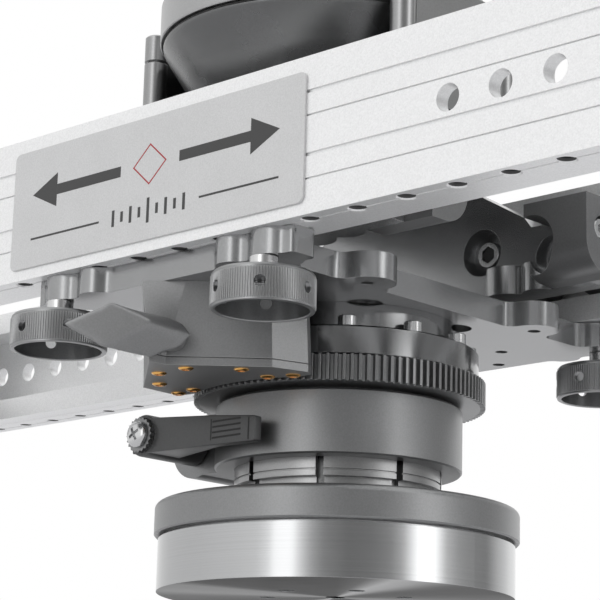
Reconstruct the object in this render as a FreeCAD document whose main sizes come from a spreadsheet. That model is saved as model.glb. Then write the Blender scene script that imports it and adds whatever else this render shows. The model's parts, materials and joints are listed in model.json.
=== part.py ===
"""Camera slider with a 150 mm bowl carriage on two rails, standing on a quick-release turntable.

Frame: millimetres, X along the rails, Y across them (the nameplate side is -Y), Z up.  The origin
is the centre of the base's flat underside, on the turntable's axis.
"""
import FreeCAD, Part

import math
import os

from FreeCAD import Placement, Rotation, Vector

X_AXIS = Vector(1, 0, 0)
Y_AXIS = Vector(0, 1, 0)
Z_AXIS = Vector(0, 0, 1)
OVERRUN = 2.0          # how far a cutting tool passes a face
GAP = 0.1              # radial play between two pieces that never move on each other

# Driving dimensions, in millimetres and degrees
DIMENSIONS = {
    # base and quick release
    "drum_radius": 86.9, "drum_top": 26.8, "flange_radius": 89.0, "flange_top": 42.6,
    "flange_round": 3.0, "drum_gap": 1.5, "drum_neck": 83.5, "tie_radius": 4.8,
    "base_screw_circle": 34.0, "base_screw_radius": 4.0,
    "spigot_radius": 45.2, "collet_radius": 50.8, "collet_top": 78.0, "collet_lip": 51.8,
    "collet_groove": 54.9, "collet_slots": 8, "collet_slot_width": 3.8, "collet_slot_turn": 33.0,
    "collar_radius": 60.8, "collar_bottom": 60.7, "collar_top": 92.1, "collar_split": 3.0,
    "ear_radius": 15.6, "ear_centre": 65.0, "ear_level": 75.0, "near_ear_reach": 36.0,
    "far_ear_reach": 26.0,
    # clamp lever
    "bolt_offset": 63.9, "bolt_level": 75.7, "bolt_radius": 3.5, "hub_radius": 9.5,
    "arm_front": 72.2, "arm_thickness": 5.0, "arm_tip": 13.5, "arm_tip_top": 77.5,
    "arm_tip_bottom": 65.3, "washer_radius": 8.9, "screw_head_radius": 6.4,
    # turntable
    "tooth_module": 1.2, "gear_teeth": 118, "gear_bottom": 93.5, "gear_top": 105.8,
    "journal_radius": 32.0, "journal_top": 131.0, "race_width": 4.0, "ball_radius": 3.0,
    "housing_radius": 68.5, "housing_bottom": 106.4, "housing_top": 120.3, "neck_radius": 58.0,
    "turntable_screws": 12, "turntable_screw_circle": 63.2, "turntable_screw_turn": 15.4,
    # cross plate
    "plate_bottom": 133.6, "plate_half_width": 68.5, "plate_half_bar": 122.5,
    "pad_inner": 40.0, "pad_outer": 86.0, "pad_edge": 129.5, "pad_depth": 20.0, "pad_set_back": 5.0,
    "pad_lobe_radius": 12.0, "side_lobe_station": 46.5, "side_lobe_radius": 9.0,
    "lobe_reach": 73.0, "lobe_station": 61.0, "lobe_radius": 13.0, "plate_round": 6.0,
    "plate_bore_radius": 12.0,
    # rails
    "rail_length": 900.0, "rail_bottom": 146.0, "rail_height": 72.0, "rail_width": 28.6,
    "rail_reach": 131.5, "web_thickness": 7.3, "lip_height": 13.6, "hole_pitch": 27.46,
    "side_hole_radius": 6.05, "side_hole_level": 35.8, "under_hole_radius": 3.1,
    "under_hole_offset": 7.0, "under_hole_depth": 9.0, "under_sink_radius": 4.6,
    # clamping knobs
    "knob_station": 68.65, "knob_radius": 23.4, "knob_bottom": 109.3, "knob_height": 16.5,
    "knob_wall": 2.6, "knob_web": 4.0, "knob_holes": 6, "knob_hole_radius": 2.6,
    "stud_radius": 3.0, "stud_collar": 6.5, "stud_reach": 7.0,
    # brake
    "brake_angle": -46.0, "brake_hub_x": 6.1, "brake_hub_y": -119.1, "brake_hub_z": 105.7,
    "brake_bottom": 94.2, "brake_cover": 4.0, "brake_clearance_radius": 73.5,
    "shaft_radius": 5.0, "cam_throw": 0.8, "cam_start": 36.0, "cam_end": 50.0, "shaft_end": 60.0,
    "shoe_radius": 72.7, "paddle_back": 8.5, "paddle_front": 24.0, "paddle_hub_radius": 6.2,
    # end plates and bumpers
    "end_thickness": 8.0, "end_round": 12.0, "bumper_thickness": 8.0, "bumper_radius": 9.0,
    # nameplate
    "badge_length": 198.0, "badge_bottom": 151.3, "badge_top": 211.0, "badge_thickness": 1.2,
    "badge_round": 3.5,
    # carriage
    "carriage_x": -16.5, "side_inner": 69.3, "side_thickness": 14.0, "side_bottom": 156.0,
    "side_half_length": 118.0, "deck_bottom": 221.0, "deck_thickness": 10.0, "deck_half_length": 92.0,
    "deck_half_width": 86.0, "deck_screw_station": 24.0,
    "wheel_station": 50.0, "wheel_radius": 22.15, "wheel_level": 181.8,
    "roller_station": 95.7, "roller_radius": 13.65, "roller_level": 173.3,
    "wheel_inner": 105.5, "wheel_width": 14.0, "axle_radius": 5.0, "bore_play": 0.06,
    "counterbore_radius": 12.4, "counterbore_depth": 9.0, "axle_head_radius": 6.9,
    "axle_head_height": 4.0,
    "bracket_inner": 45.0, "bracket_top": 194.0, "bracket_start": 96.0, "bracket_end": 134.5,
    "bracket_round": 15.0, "bracket_notch": 14.5,
    "riser_station": 88.2, "riser_thickness": 5.0, "riser_top": 294.5, "post_station": 87.5,
    "post_spread": 38.0, "post_radius": 6.25, "post_groove": 285.2, "post_gap": 1.5, "post_top": 300.9,
    # bowl
    "bowl_radius": 83.5, "bowl_seat_radius": 75.0, "bowl_top": 281.5, "bowl_floor": 243.0,
    "bowl_foot_radius": 47.0, "bowl_bore_radius": 20.0, "seal_height": 1.6, "rim_radius": 85.2,
    "rim_top": 303.0,
}

doc = FreeCAD.newDocument("camera_slider")
sheet = doc.addObject("Spreadsheet::Sheet", "Sizes")
for row, (alias, value) in enumerate(DIMENSIONS.items(), start=1):
    sheet.set(f"A{row}", alias.replace("_", " "))
    sheet.set(f"B{row}", str(value))
    sheet.setAlias(f"B{row}", alias)
doc.recompute()

NODES = []


def size(alias):
    """The sheet's value of one driving dimension."""
    return float(sheet.get(alias))


def bind(obj, prop, rule):
    """Binds a property to the sheet, in which every driving dimension is written as a bare word."""
    words = "".join(c if c.isalnum() or c == "_" else f" {c} " for c in str(rule)).split()
    obj.setExpression(prop, " ".join(f"Sizes.{w}" if w in DIMENSIONS else w for w in words)
                      .replace(" . ", "."))


def node(obj, label):
    """Marks an object as a finished piece; its label names its file."""
    obj.Label = label
    NODES.append(obj)
    return obj


def turn_to(direction):
    """The rotation that lays a primitive's own Z axis along X, Y or Z."""
    return {"X": Rotation(Y_AXIS, 90), "Y": Rotation(X_AXIS, -90), "Z": Rotation()}[direction]


def put(obj, at, direction="Z"):
    obj.Placement = Placement(Vector(0, 0, 0), turn_to(direction))
    for letter, rule in zip("xyz", at):
        bind(obj, f"Placement.Base.{letter}", rule)
    return obj


def cylinder(name, radius, height, at, direction="Z"):
    obj = doc.addObject("Part::Cylinder", name)
    bind(obj, "Radius", radius)
    bind(obj, "Height", height)
    return put(obj, at, direction)


def box(name, length, width, height, at):
    obj = doc.addObject("Part::Box", name)
    bind(obj, "Length", length)
    bind(obj, "Width", width)
    bind(obj, "Height", height)
    return put(obj, at)


def fuse(name, pieces):
    obj = doc.addObject("Part::MultiFuse", name)
    obj.Shapes = pieces
    return obj


def cut(name, base, tools):
    obj = doc.addObject("Part::Cut", name)
    obj.Base = base
    obj.Tool = tools[0] if len(tools) == 1 else fuse(name + "_tools", tools)
    return obj


def shaped(name, shape):
    """A piece whose form is worked out in this file from the sheet's sizes."""
    obj = doc.addObject("Part::Feature", name)
    obj.Shape = shape
    return obj


def plane_of(body, role):
    return next(f for f in body.Origin.OriginFeatures if f.Role == role)


def sketched(body, role, wires, offset=0.0):
    """A sketch of closed outlines on one of the body's origin planes."""
    sketch = body.newObject("Sketcher::SketchObject", body.Name + "_outline")
    sketch.AttachmentSupport = [(plane_of(body, role), "")]
    sketch.MapMode = "FlatFace"
    sketch.AttachmentOffset = Placement(Vector(0, 0, offset), Rotation())
    for wire in wires:
        if isinstance(wire, tuple):
            centre_x, centre_y, radius = wire
            sketch.addGeometry(Part.Circle(Vector(centre_x, centre_y, 0), Z_AXIS, radius), False)
            continue
        for start, end in zip(wire, wire[1:] + wire[:1]):
            sketch.addGeometry(Part.LineSegment(Vector(*start, 0), Vector(*end, 0)), False)
    return sketch


def padded(name, role, wires, length, offset=0.0):
    """A body made by padding outlines by a length that the sheet drives."""
    body = doc.addObject("PartDesign::Body", name)
    sketch = sketched(body, role, wires, offset)
    pad = body.newObject("PartDesign::Pad", name + "_pad")
    pad.Profile = sketch
    bind(pad, "Length", length)
    sketch.Visibility = False
    return body


def revolved(name, outline, centre_x="0"):
    """A body turned about a vertical axis from an outline of (radius, height) points."""
    body = doc.addObject("PartDesign::Body", name)
    sketch = sketched(body, "XZ_Plane", [outline])
    turned = body.newObject("PartDesign::Revolution", name + "_turned")
    turned.Profile = sketch
    turned.ReferenceAxis = (sketch, ["V_Axis"])
    turned.Angle = 360.0
    bind(body, "Placement.Base.x", centre_x)
    return body


def ring_of(shape, count, start=0.0):
    """Copies of a shape at equal angles about the vertical axis."""
    copies = []
    for index in range(int(count)):
        copy = shape.copy()
        copy.rotate(Vector(0, 0, 0), Z_AXIS, start + 360.0 * index / count)
        copies.append(copy)
    return copies


def rod(radius, start, end):
    """A plain cylinder between two points."""
    run = end.sub(start)
    return Part.makeCylinder(radius, run.Length, start, run)


def prism(points, height):
    """An outline of points lifted along Z."""
    wire = Part.makePolygon([Vector(*p) for p in points] + [Vector(*points[0])])
    return Part.Face(wire).extrude(Vector(0, 0, height))


def block(x_low, x_high, y_low, y_high, z_low, z_high):
    """An upright block between two opposite corners, given in either order."""
    low = Vector(min(x_low, x_high), min(y_low, y_high), min(z_low, z_high))
    span = Vector(abs(x_high - x_low), abs(y_high - y_low), abs(z_high - z_low))
    return Part.makeBox(span.x, span.y, span.z, low)


def cap_screw(head_radius, head_height, shank_radius, shank_length, point, direction):
    """A socket-head screw: the head stands out of `point` along `direction`, the shank goes back."""
    out = Vector(direction).normalize()
    head = Part.makeCylinder(head_radius, head_height, point, out)
    shank = Part.makeCylinder(shank_radius, shank_length + 0.5, point + out * 0.5, out * -1)
    socket = Part.makeCylinder(head_radius * 0.5, head_height * 0.6, point + out * head_height,
                               out * -1)
    return head.fuse(shank).cut(socket)


# ------------------------------------------------------------------ base and quick-release mount

def base_drum():
    """Turned drum with a tie-down bore, six screw seats and a narrow neck under the flange."""
    drum = fuse("drum_blank", [
        cylinder("drum_wall", "drum_radius", "drum_top - drum_gap", ("0", "0", "0")),
        cylinder("drum_step", "drum_neck", "drum_top", ("0", "0", "0"))])
    bore = cylinder("drum_bore", "tie_radius", "drum_top + 4", ("0", "0", "-2"))
    seats = shaped("drum_screw_seats", Part.makeCompound(ring_of(
        Part.makeCylinder(size("base_screw_radius") + GAP, size("drum_top") + 2 * OVERRUN,
                          Vector(size("base_screw_circle"), 0, -OVERRUN)), 6, 30.0)))
    node(cut("drum_cut", drum, [bore, seats]), "base_drum")


def base_screws():
    screw = Part.makeCylinder(size("base_screw_radius"), size("drum_top") - 1.0,
                              Vector(size("base_screw_circle"), 0, 1.0))
    socket = Part.makeCylinder(2.2, 3.0, Vector(size("base_screw_circle"), 0, 0))
    node(shaped("base_screw_group", Part.makeCompound(ring_of(screw.cut(socket), 6, 30.0))),
         "base_screws")


def base_flange():
    """Round-edged flange that overhangs the drum and carries the collet."""
    edge, top, rounding = size("flange_radius"), size("flange_top"), size("flange_round")
    slab = Part.makeCylinder(edge, top - size("drum_top"), Vector(0, 0, size("drum_top")))
    rim = [e for e in slab.Edges if e.Curve.TypeId == "Part::GeomCircle"]
    slab = slab.makeFillet(rounding, [max(rim, key=lambda e: e.CenterOfMass.z)])
    slab = slab.makeChamfer(0.8, [min((e for e in slab.Edges if e.Length > edge * 6),
                                      key=lambda e: e.CenterOfMass.z)])
    body = shaped("flange_slab", slab)
    bore = cylinder("flange_bore", "tie_radius", "flange_top", ("0", "0", "10"))
    node(cut("flange_cut", body, [bore]), "base_flange")


def collet_ring():
    """Slotted collet: the collar closes it on the turntable's spigot."""
    inner = size("spigot_radius") + GAP
    outer, top = size("collet_radius"), size("collet_top")
    floor, groove = size("flange_top"), size("collet_groove")
    lip, neck = size("collet_lip"), outer - 3.6
    outline = [(inner, floor), (neck, floor), (neck, lip), (outer, lip),
               (outer, groove - 0.35), (outer - 0.8, groove - 0.35), (outer - 0.8, groove + 0.35),
               (outer, groove + 0.35), (outer, top), (inner, top)]
    ring = revolved("collet_blank", outline)
    width = size("collet_slot_width")
    slot = block(inner - OVERRUN, outer + OVERRUN, -width / 2, width / 2, floor + 1.2, top + OVERRUN)
    slots = shaped("collet_slots_cut", Part.makeCompound(ring_of(
        slot, size("collet_slots"), size("collet_slot_turn"))))
    node(cut("collet_cut", ring, [slots]), "collet_ring")


def clamp_collar():
    """Split collar with two ears on its -X side, drawn together by the clamp bolt."""
    low, high = size("collar_bottom"), size("collar_top")
    outer, inner = size("collar_radius"), size("collet_radius") + 0.15
    ring = revolved("collar_blank", [(inner, low), (outer - 0.8, low), (outer, low + 0.8),
                                     (outer, high - 1.2), (outer - 1.2, high), (inner, high)])
    reach, far = size("near_ear_reach"), size("far_ear_reach")
    centre = Vector(-size("ear_centre"), -reach, size("ear_level"))
    boss = Part.makeCylinder(size("ear_radius"), reach + far, centre, Y_AXIS)
    bridge = block(-size("ear_centre"), -44.0, -reach, far, low, size("ear_level") + size("ear_radius"))
    clear = Part.makeCylinder(inner, 2 * high, Vector(0, 0, 0))
    ears = shaped("collar_ears", boss.fuse(bridge).cut(clear).removeSplitter())
    split = box("collar_split_cut", "60", "collar_split", "collar_top - collar_bottom + 4",
                ("-100", "-collar_split / 2", "collar_bottom - 2"))
    bolt = cylinder("collar_bolt_bore", f"bolt_radius + {GAP}", "near_ear_reach + far_ear_reach + 4",
                    ("-bolt_offset", "-near_ear_reach - 2", "bolt_level"), "Y")
    node(cut("collar_cut", fuse("collar_body", [ring, ears]), [split, bolt]), "clamp_collar")


def clamp_lever():
    """Bolt, serrated washer, head screw and the handle that turns them."""
    axis_x, level = -size("bolt_offset"), size("bolt_level")
    front, back = -size("arm_front"), -size("near_ear_reach") - 0.3
    bolt = cylinder("bolt_rod", "bolt_radius", "arm_front + far_ear_reach + 1.0",
                    ("-bolt_offset", "-arm_front", "bolt_level"), "Y")
    nut = Part.makeCylinder(6.2, 5.0, Vector(axis_x, size("far_ear_reach") + 0.3, level), Y_AXIS)
    node(fuse("clamp_bolt_body", [bolt, shaped("clamp_bolt_nut", nut)]), "clamp_bolt")

    thick, tip = size("arm_thickness"), size("arm_tip")
    heel = axis_x - 6.0
    plan = [(heel, front), (tip - 1.5, front), (tip, front + 1.5), (tip, front + thick),
            (-15.0, front + thick + 1.0), (axis_x - 3.0, front + thick + 18.0),
            (heel, front + thick + 18.0)]
    arm = prism([(x, y, 0) for x, y in plan], 120.0)
    hub_top = level + size("hub_radius")
    side = [(axis_x - 12.0, hub_top), (axis_x, hub_top - 1.0), (tip, size("arm_tip_top")),
            (tip, size("arm_tip_bottom")), (axis_x, level - size("hub_radius") + 0.6),
            (axis_x - 12.0, level - size("hub_radius") + 0.6)]
    wire = Part.makePolygon([Vector(x, -90.0, z) for x, z in side + side[:1]])
    arm = arm.common(Part.Face(wire).extrude(Vector(0, 60.0, 0)))
    hub = Part.makeCylinder(size("hub_radius"), back - front, Vector(axis_x, front, level), Y_AXIS)
    bore = Part.makeCylinder(size("bolt_radius") + GAP, 90.0, Vector(axis_x, -95.0, level), Y_AXIS)
    ribs = [block(-15.0, 4.2, front - 1.0, front + 0.7, z, z + 1.1)
            for z in (level - 6.4, level - 3.4, level - 0.4, level + 2.6)]
    body = arm.fuse(hub).removeSplitter().cut(bore).cut(ribs)
    node(shaped("clamp_handle_body", body), "clamp_handle")

    teeth = 20
    outer, depth = size("washer_radius"), 2.6
    points = []
    for index in range(2 * teeth):
        radius = outer if index % 2 == 0 else outer - 1.1
        angle = math.pi * index / teeth
        points.append(Vector(axis_x + radius * math.cos(angle), front - 0.1,
                             level + radius * math.sin(angle)))
    star = Part.Face(Part.makePolygon(points + points[:1])).extrude(Vector(0, -depth, 0))
    star = star.cut(Part.makeCylinder(3.4, 20.0, Vector(axis_x, front - 10.0, level), Y_AXIS))
    node(shaped("serrated_washer_body", star), "serrated_washer")

    head_start = front - 0.2 - depth
    tall = 3.6
    head = Part.makeCylinder(size("screw_head_radius"), tall, Vector(axis_x, head_start - tall, level),
                             Y_AXIS)
    neck = Part.makeCylinder(3.2, depth + 0.2, Vector(axis_x, head_start, level), Y_AXIS)
    cross = [block(axis_x - across, axis_x + across, head_start - 4.0, head_start - 2.0,
                   level - high, level + high) for across, high in ((3.4, 0.7), (0.7, 3.4))]
    node(shaped("handle_screw_body", head.fuse(neck).cut(cross)), "handle_screw")


# ------------------------------------------------------------------ turntable

def pedestal():
    """Spigot held by the collet, shoulder under the gear and journal for the two bearings."""
    spigot, journal = size("spigot_radius"), size("journal_radius")
    low, shoulder, gear_low = size("flange_top") + 0.4, size("collar_top") + 0.4, size("gear_bottom")
    outline = [(9.0, low), (spigot - 1.5, low), (spigot, low + 1.5), (spigot, shoulder),
               (spigot + 6.0, shoulder), (spigot + 6.0, gear_low), (spigot - 6.0, gear_low),
               (spigot - 6.0, size("gear_top") + 0.3), (journal, size("gear_top") + 0.3),
               (journal, size("journal_top")), (9.0, size("journal_top"))]
    node(revolved("pedestal_body", outline), "pedestal")


def gear_ring():
    """Spur ring of 118 teeth, fixed to the pedestal, that the swivel brake bears on."""
    module, teeth = size("tooth_module"), int(size("gear_teeth"))
    pitch_radius = module * teeth / 2.0
    tip, root = pitch_radius + module, pitch_radius - 1.2 * module
    step = 2 * math.pi / teeth
    points = []
    for index in range(teeth):
        middle = index * step
        for radius, share in ((root, -0.30), (tip, -0.17), (tip, 0.17), (root, 0.30)):
            angle = middle + share * step
            points.append(Vector(radius * math.cos(angle), radius * math.sin(angle),
                                 size("gear_bottom")))
    rim = Part.Face(Part.makePolygon(points + points[:1])).extrude(
        Vector(0, 0, size("gear_top") - size("gear_bottom")))
    blank = shaped("gear_blank", rim)
    bore = cylinder("gear_bore", f"spigot_radius - 6 + {GAP}", "30", ("0", "0", "gear_bottom - 5"))
    node(cut("gear_cut", blank, [bore]), "gear_ring")


def bearings():
    """Two angular-contact bearings: inner races on the journal, outer races in the housing."""
    journal, width, ball = size("journal_radius"), size("race_width"), size("ball_radius")
    low, high = size("housing_bottom") + 1.0, size("housing_top") + 1.0
    track = journal + GAP + width + ball * 0.6
    inner, outer, balls = [], [], []
    for level in (low, high):
        middle = level + ball + 1.0
        torus = Part.makeTorus(track, ball + 0.05, Vector(0, 0, middle))
        tall = 2 * ball + 2.0
        inner_ring = Part.makeCylinder(track - 0.6, tall, Vector(0, 0, level)).cut(
            Part.makeCylinder(journal + GAP, tall, Vector(0, 0, level)))
        outer_ring = Part.makeCylinder(track + ball + width, tall, Vector(0, 0, level)).cut(
            Part.makeCylinder(track + 0.6, tall, Vector(0, 0, level)))
        inner.append(inner_ring.cut(torus))
        outer.append(outer_ring.cut(torus))
        balls += ring_of(Part.makeSphere(ball, Vector(track, 0, middle)), 24)
    node(shaped("inner_race_pair", Part.makeCompound(inner)), "bearing_inner_races")
    node(shaped("outer_race_pair", Part.makeCompound(outer)), "bearing_outer_races")
    node(shaped("ball_set", Part.makeCompound(balls)), "bearing_balls")
    return track + ball + width


def turntable_housing(race_radius):
    """Drum that turns over the gear ring, with a neck up to the cross plate."""
    edge, neck = size("housing_radius"), size("neck_radius")
    low, step, top = size("housing_bottom"), size("housing_top"), size("plate_bottom")
    pocket = race_radius + GAP
    lower_race = low + 1.0 + 2 * size("ball_radius") + 2.0
    upper_race = step + 1.0
    outline = [(pocket, low), (edge - 0.6, low), (edge, low + 0.6), (edge, step - 0.8),
               (edge - 0.8, step), (neck, step), (neck, top), (pocket, top), (pocket, upper_race),
               (pocket - 3.0, upper_race), (pocket - 3.0, lower_race), (pocket, lower_race)]
    blank = revolved("housing_blank", outline)
    hole = Part.makeCylinder(2.6, 30.0, Vector(size("turntable_screw_circle"), 0, step - 10.0))
    holes = shaped("housing_screw_holes", Part.makeCompound(ring_of(
        hole, size("turntable_screws"), size("turntable_screw_turn"))))
    node(cut("housing_cut", blank, [holes]), "turntable_housing")


def turntable_screws():
    seat = Vector(size("turntable_screw_circle"), 0, size("housing_top") + 0.1)
    screw = cap_screw(4.4, 5.0, 2.5, 9.0, seat, Z_AXIS)
    node(shaped("turntable_screw_group", Part.makeCompound(
        ring_of(screw, size("turntable_screws"), size("turntable_screw_turn")))), "turntable_screws")


def spindle_nut():
    """Slotted ring nut that keeps the bearings on the journal."""
    thick = 1.9
    outer = size("journal_radius") + 4.5
    ring = Part.makeCylinder(outer, thick, Vector(0, 0, size("journal_top") + 0.1))
    ring = ring.cut(Part.makeCylinder(14.0, 10.0, Vector(0, 0, size("journal_top") - 4.0)))
    slot = block(outer - 3.0, outer + 3.0, -3.0, 3.0, size("journal_top") - 1.0,
                 size("journal_top") + 5.0)
    node(shaped("spindle_nut_ring", ring.cut(ring_of(slot, 4))), "spindle_nut")


# ------------------------------------------------------------------ cross plate, rails, end plates

# Holes of the cross plate, as (x, y, radius); each is repeated in the other three quarters
PLATE_HOLES = [(45.0, 33.0, 9.2), (52.0, 15.0, 3.2), (30.0, 90.0, 3.2), (9.0, 114.0, 3.2),
               (73.0, 62.0, 3.2)]


def cross_plate():
    """Plate under both rails: a lobed knob pad at each corner, a lobe between pad and waist."""
    thick = size("rail_bottom") - size("plate_bottom")
    waist, bar = size("plate_half_width"), size("plate_half_bar")
    outline = Part.makePlane(2 * waist, 2 * bar, Vector(-waist, -bar, 0))
    extra = []
    for side in (-1, 1):
        for end in (-1, 1):
            x_low, x_high = sorted((side * size("pad_inner"), side * size("pad_outer")))
            y_low, y_high = sorted((end * (size("pad_edge") - size("pad_depth")),
                                    end * (size("pad_edge") - size("pad_set_back"))))
            extra.append(Part.makePlane(x_high - x_low, y_high - y_low, Vector(x_low, y_low, 0)))
            pad, small = size("pad_lobe_radius"), size("side_lobe_radius")
            for x, y, radius in (
                    (size("lobe_reach"), size("lobe_station"), size("lobe_radius")),
                    (size("knob_station") + 1.0, size("pad_edge") - pad, pad),
                    (size("side_lobe_station"), size("pad_edge") - small, small)):
                lobe = Part.Circle(Vector(side * x, end * y, 0), Z_AXIS, radius)
                extra.append(Part.Face(Part.Wire(lobe.toShape())))
    flat = outline.fuse(extra).removeSplitter()
    rounding = size("plate_round")
    flat = flat.Faces[0]
    for swell in (rounding, -rounding - 3.0, 3.0):
        flat = flat.makeOffset2D(swell, join=0)
    slab = flat.Faces[0].extrude(Vector(0, 0, thick))
    slab.translate(Vector(0, 0, size("plate_bottom")))
    drills = []
    for x in (-size("knob_station"), size("knob_station")):
        for y in (-1, 1):
            drills.append((x, y * (size("rail_reach") - size("under_hole_offset")),
                           size("stud_radius") + 0.15))
    drills += [(sx * x, sy * y, r) for x, y, r in PLATE_HOLES for sx in (-1, 1) for sy in (-1, 1)]
    drills.append((0.0, 0.0, size("plate_bore_radius")))
    holes = [Part.makeCylinder(r, thick + 2 * OVERRUN, Vector(x, y, size("plate_bottom") - OVERRUN))
             for x, y, r in drills]
    node(cut("cross_plate_cut", shaped("cross_plate_slab", slab), [
        shaped("cross_plate_holes", Part.makeCompound(holes))]), "cross_plate")


def rail(label, side):
    """Channel extrusion open towards the slider's middle; `side` is -1 for near, 1 for far."""
    reach, width, web = size("rail_reach"), size("rail_width"), size("web_thickness")
    low, tall, lip = size("rail_bottom"), size("rail_height"), size("lip_height")
    groove_wide, groove_fine, groove_deep = 1.5, 0.7, 0.9
    outer = [(0.0, 0.0), (0.0, 16.0 - groove_fine / 2)]
    for level, breadth in ((16.0, groove_fine), (26.9, groove_wide), (44.7, groove_fine),
                           (55.6, groove_wide)):
        outer += [(0.0, level - breadth / 2), (groove_deep, level - breadth / 2),
                  (groove_deep, level + breadth / 2), (0.0, level + breadth / 2)]
    outer = outer[:1] + outer[2:]
    profile = outer + [(0.0, tall), (width, tall), (width, tall - lip), (web, tall - lip),
                       (web, lip), (width, lip), (width, 0.6), (16.8, 0.6), (16.0, 0.0)]
    line = size("under_hole_offset")
    profile += [(line + 0.6, 0.0), (line + 0.6, 0.5), (line - 0.6, 0.5), (line - 0.6, 0.0)]
    points = [(side * (reach - depth), low + level) for depth, level in profile]
    body = padded(label + "_extrusion", "YZ_Plane", [points], "rail_length", -size("rail_length") / 2)
    pitch = size("hole_pitch")
    drills = []
    for index in range(6, 16):
        for end in (-1, 1):
            start = Vector(end * (index + 0.5) * pitch, side * (reach + OVERRUN),
                           low + size("side_hole_level"))
            through = Vector(0, -side * (web + 2 * OVERRUN), 0)
            drills.append(rod(size("side_hole_radius"), start, start + through))
    for index in range(16):
        for end in (-1, 1):
            mouth = Vector(end * (index + 0.5) * pitch, side * (reach - line), low)
            hole, sink = size("under_hole_radius"), size("under_sink_radius")
            drills.append(Part.makeCylinder(hole, size("under_hole_depth"), mouth).fuse(
                Part.makeCone(sink, hole, sink - hole, mouth)))
    ends = []
    for end in (-1, 1):
        for level in (lip / 2, tall - lip / 2):
            mouth = Vector(end * (size("rail_length") / 2 + OVERRUN), side * (reach - width / 2),
                           low + level)
            ends.append(rod(2.6, mouth, mouth - Vector(end * 14.0, 0, 0)))
    tool = shaped(label + "_drills", Part.makeCompound(drills + ends))
    node(cut(label + "_cut", body, [tool]), label)


def nameplate():
    """Thin plate on the near rail's outer face."""
    half, low, high, rounding = (size("badge_length") / 2, size("badge_bottom"), size("badge_top"),
                                 size("badge_round"))
    face = -size("rail_reach")
    slab = block(-half, half, face - size("badge_thickness"), face, low, high)
    corners = [e for e in slab.Edges if abs(e.tangentAt(0).y) > 0.9]
    node(shaped("nameplate_slab", slab.makeFillet(rounding, corners)), "nameplate")


def end_plates():
    """Plates that tie the two rails together, with an opening to pass a hand through."""
    reach, low, tall, thick = (size("rail_reach"), size("rail_bottom"), size("rail_height"),
                               size("end_thickness"))
    screws, bumpers = [], []
    for label, end in (("left_end_plate", -1), ("right_end_plate", 1)):
        face = end * size("rail_length") / 2
        slab = block(face, face + end * thick, -reach, reach, low, low + tall)
        corners = [e for e in slab.Edges if abs(e.tangentAt(0).x) > 0.9]
        slab = slab.makeFillet(size("end_round") / 2, corners)
        window = block(face - end * 5.0, face + end * (thick + 5.0), -72.0, 72.0, low + 20.0,
                       low + tall - 16.0)
        rims = [e for e in window.Edges if abs(e.tangentAt(0).x) > 0.9]
        slab = slab.cut(window.makeFillet(size("end_round"), rims))
        for side in (-1, 1):
            for level in (size("lip_height") / 2, tall - size("lip_height") / 2):
                spot = Vector(face + end * thick, side * (reach - size("rail_width") / 2), low + level)
                slab = slab.cut(rod(4.6, spot + Vector(end, 0, 0), spot - Vector(end * 4.0, 0, 0)))
                slab = slab.cut(rod(2.6, spot, spot - Vector(end * 12.0, 0, 0)))
                screws.append(cap_screw(4.4, 3.6, 2.5, 11.0, spot - Vector(end * 3.9, 0, 0),
                                        Vector(end, 0, 0)))
            seat = Vector(face - end * 0.1, side * 60.0, low + 12.0)
            bumpers.append(rod(size("bumper_radius"), seat,
                               seat - Vector(end * size("bumper_thickness"), 0, 0)))
        node(shaped(label + "_slab", slab), label)
    node(shaped("end_screw_group", Part.makeCompound(screws)), "end_screws")
    node(shaped("bumper_group", Part.makeCompound(bumpers)), "end_bumpers")


def clamp_knobs():
    """Four hollow knobs under the cross plate; each turns a stud that pulls the rail down."""
    radius, low, tall = size("knob_radius"), size("knob_bottom"), size("knob_height")
    wall, web = size("knob_wall"), size("knob_web")
    top = low + tall
    outline = [(size("stud_collar") - 1.0, top - web), (radius - wall, top - web), (radius - wall, low),
               (radius - 0.6, low), (radius, low + 0.6), (radius, top - 2.4), (radius - 2.4, top),
               (size("stud_collar") - 1.0, top)]
    for label, end, side, turn in (("near_left", -1, -1, -29.5), ("near_right", 1, -1, -49.0),
                                   ("far_left", -1, 1, -51.0), ("far_right", 1, 1, -24.0)):
        x, y = end * size("knob_station"), side * (size("rail_reach") - size("under_hole_offset"))
        cup = revolved(label + "_cup", outline, str(x))
        bind(cup, "Placement.Base.y", y)
        drill = rod(size("knob_hole_radius"), Vector(radius - wall - 2.0, 0, low + tall * 0.5),
                    Vector(radius + 2.0, 0, low + tall * 0.5))
        drills = Part.makeCompound(ring_of(drill, size("knob_holes"), turn))
        drills.translate(Vector(x, y, 0))
        node(cut(label + "_knob_cut", cup, [shaped(label + "_knob_drills", drills)]), label + "_knob")
        collar = cylinder(label + "_collar", "stud_collar", f"plate_bottom - {top} - 0.4",
                          (x, y, top + 0.1))
        foot = cylinder(label + "_foot", f"stud_collar - 1 - {GAP}", f"{web} + 1.6",
                        (x, y, top - web - 1.4))
        rise = cylinder(label + "_thread", "stud_radius", f"rail_bottom + stud_reach - {top}",
                        (x, y, top))
        node(fuse(label + "_stud_body", [collar, foot, rise]), label + "_stud")


# ------------------------------------------------------------------ swivel brake

def brake_frame():
    """Local frame of the brake: origin at the lever's hub, X across, Y along its shaft (inwards)."""
    angle = math.radians(size("brake_angle"))
    out = Vector(math.cos(angle), math.sin(angle), 0)
    across = Vector(-out.y, out.x, 0)
    hub = Vector(size("brake_hub_x"), size("brake_hub_y"), size("brake_hub_z"))
    return hub, out, across


def brake_point(across_by, out_by, up_by=0.0):
    hub, out, across = brake_frame()
    return hub + across * across_by + out * out_by + Vector(0, 0, up_by)


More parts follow.
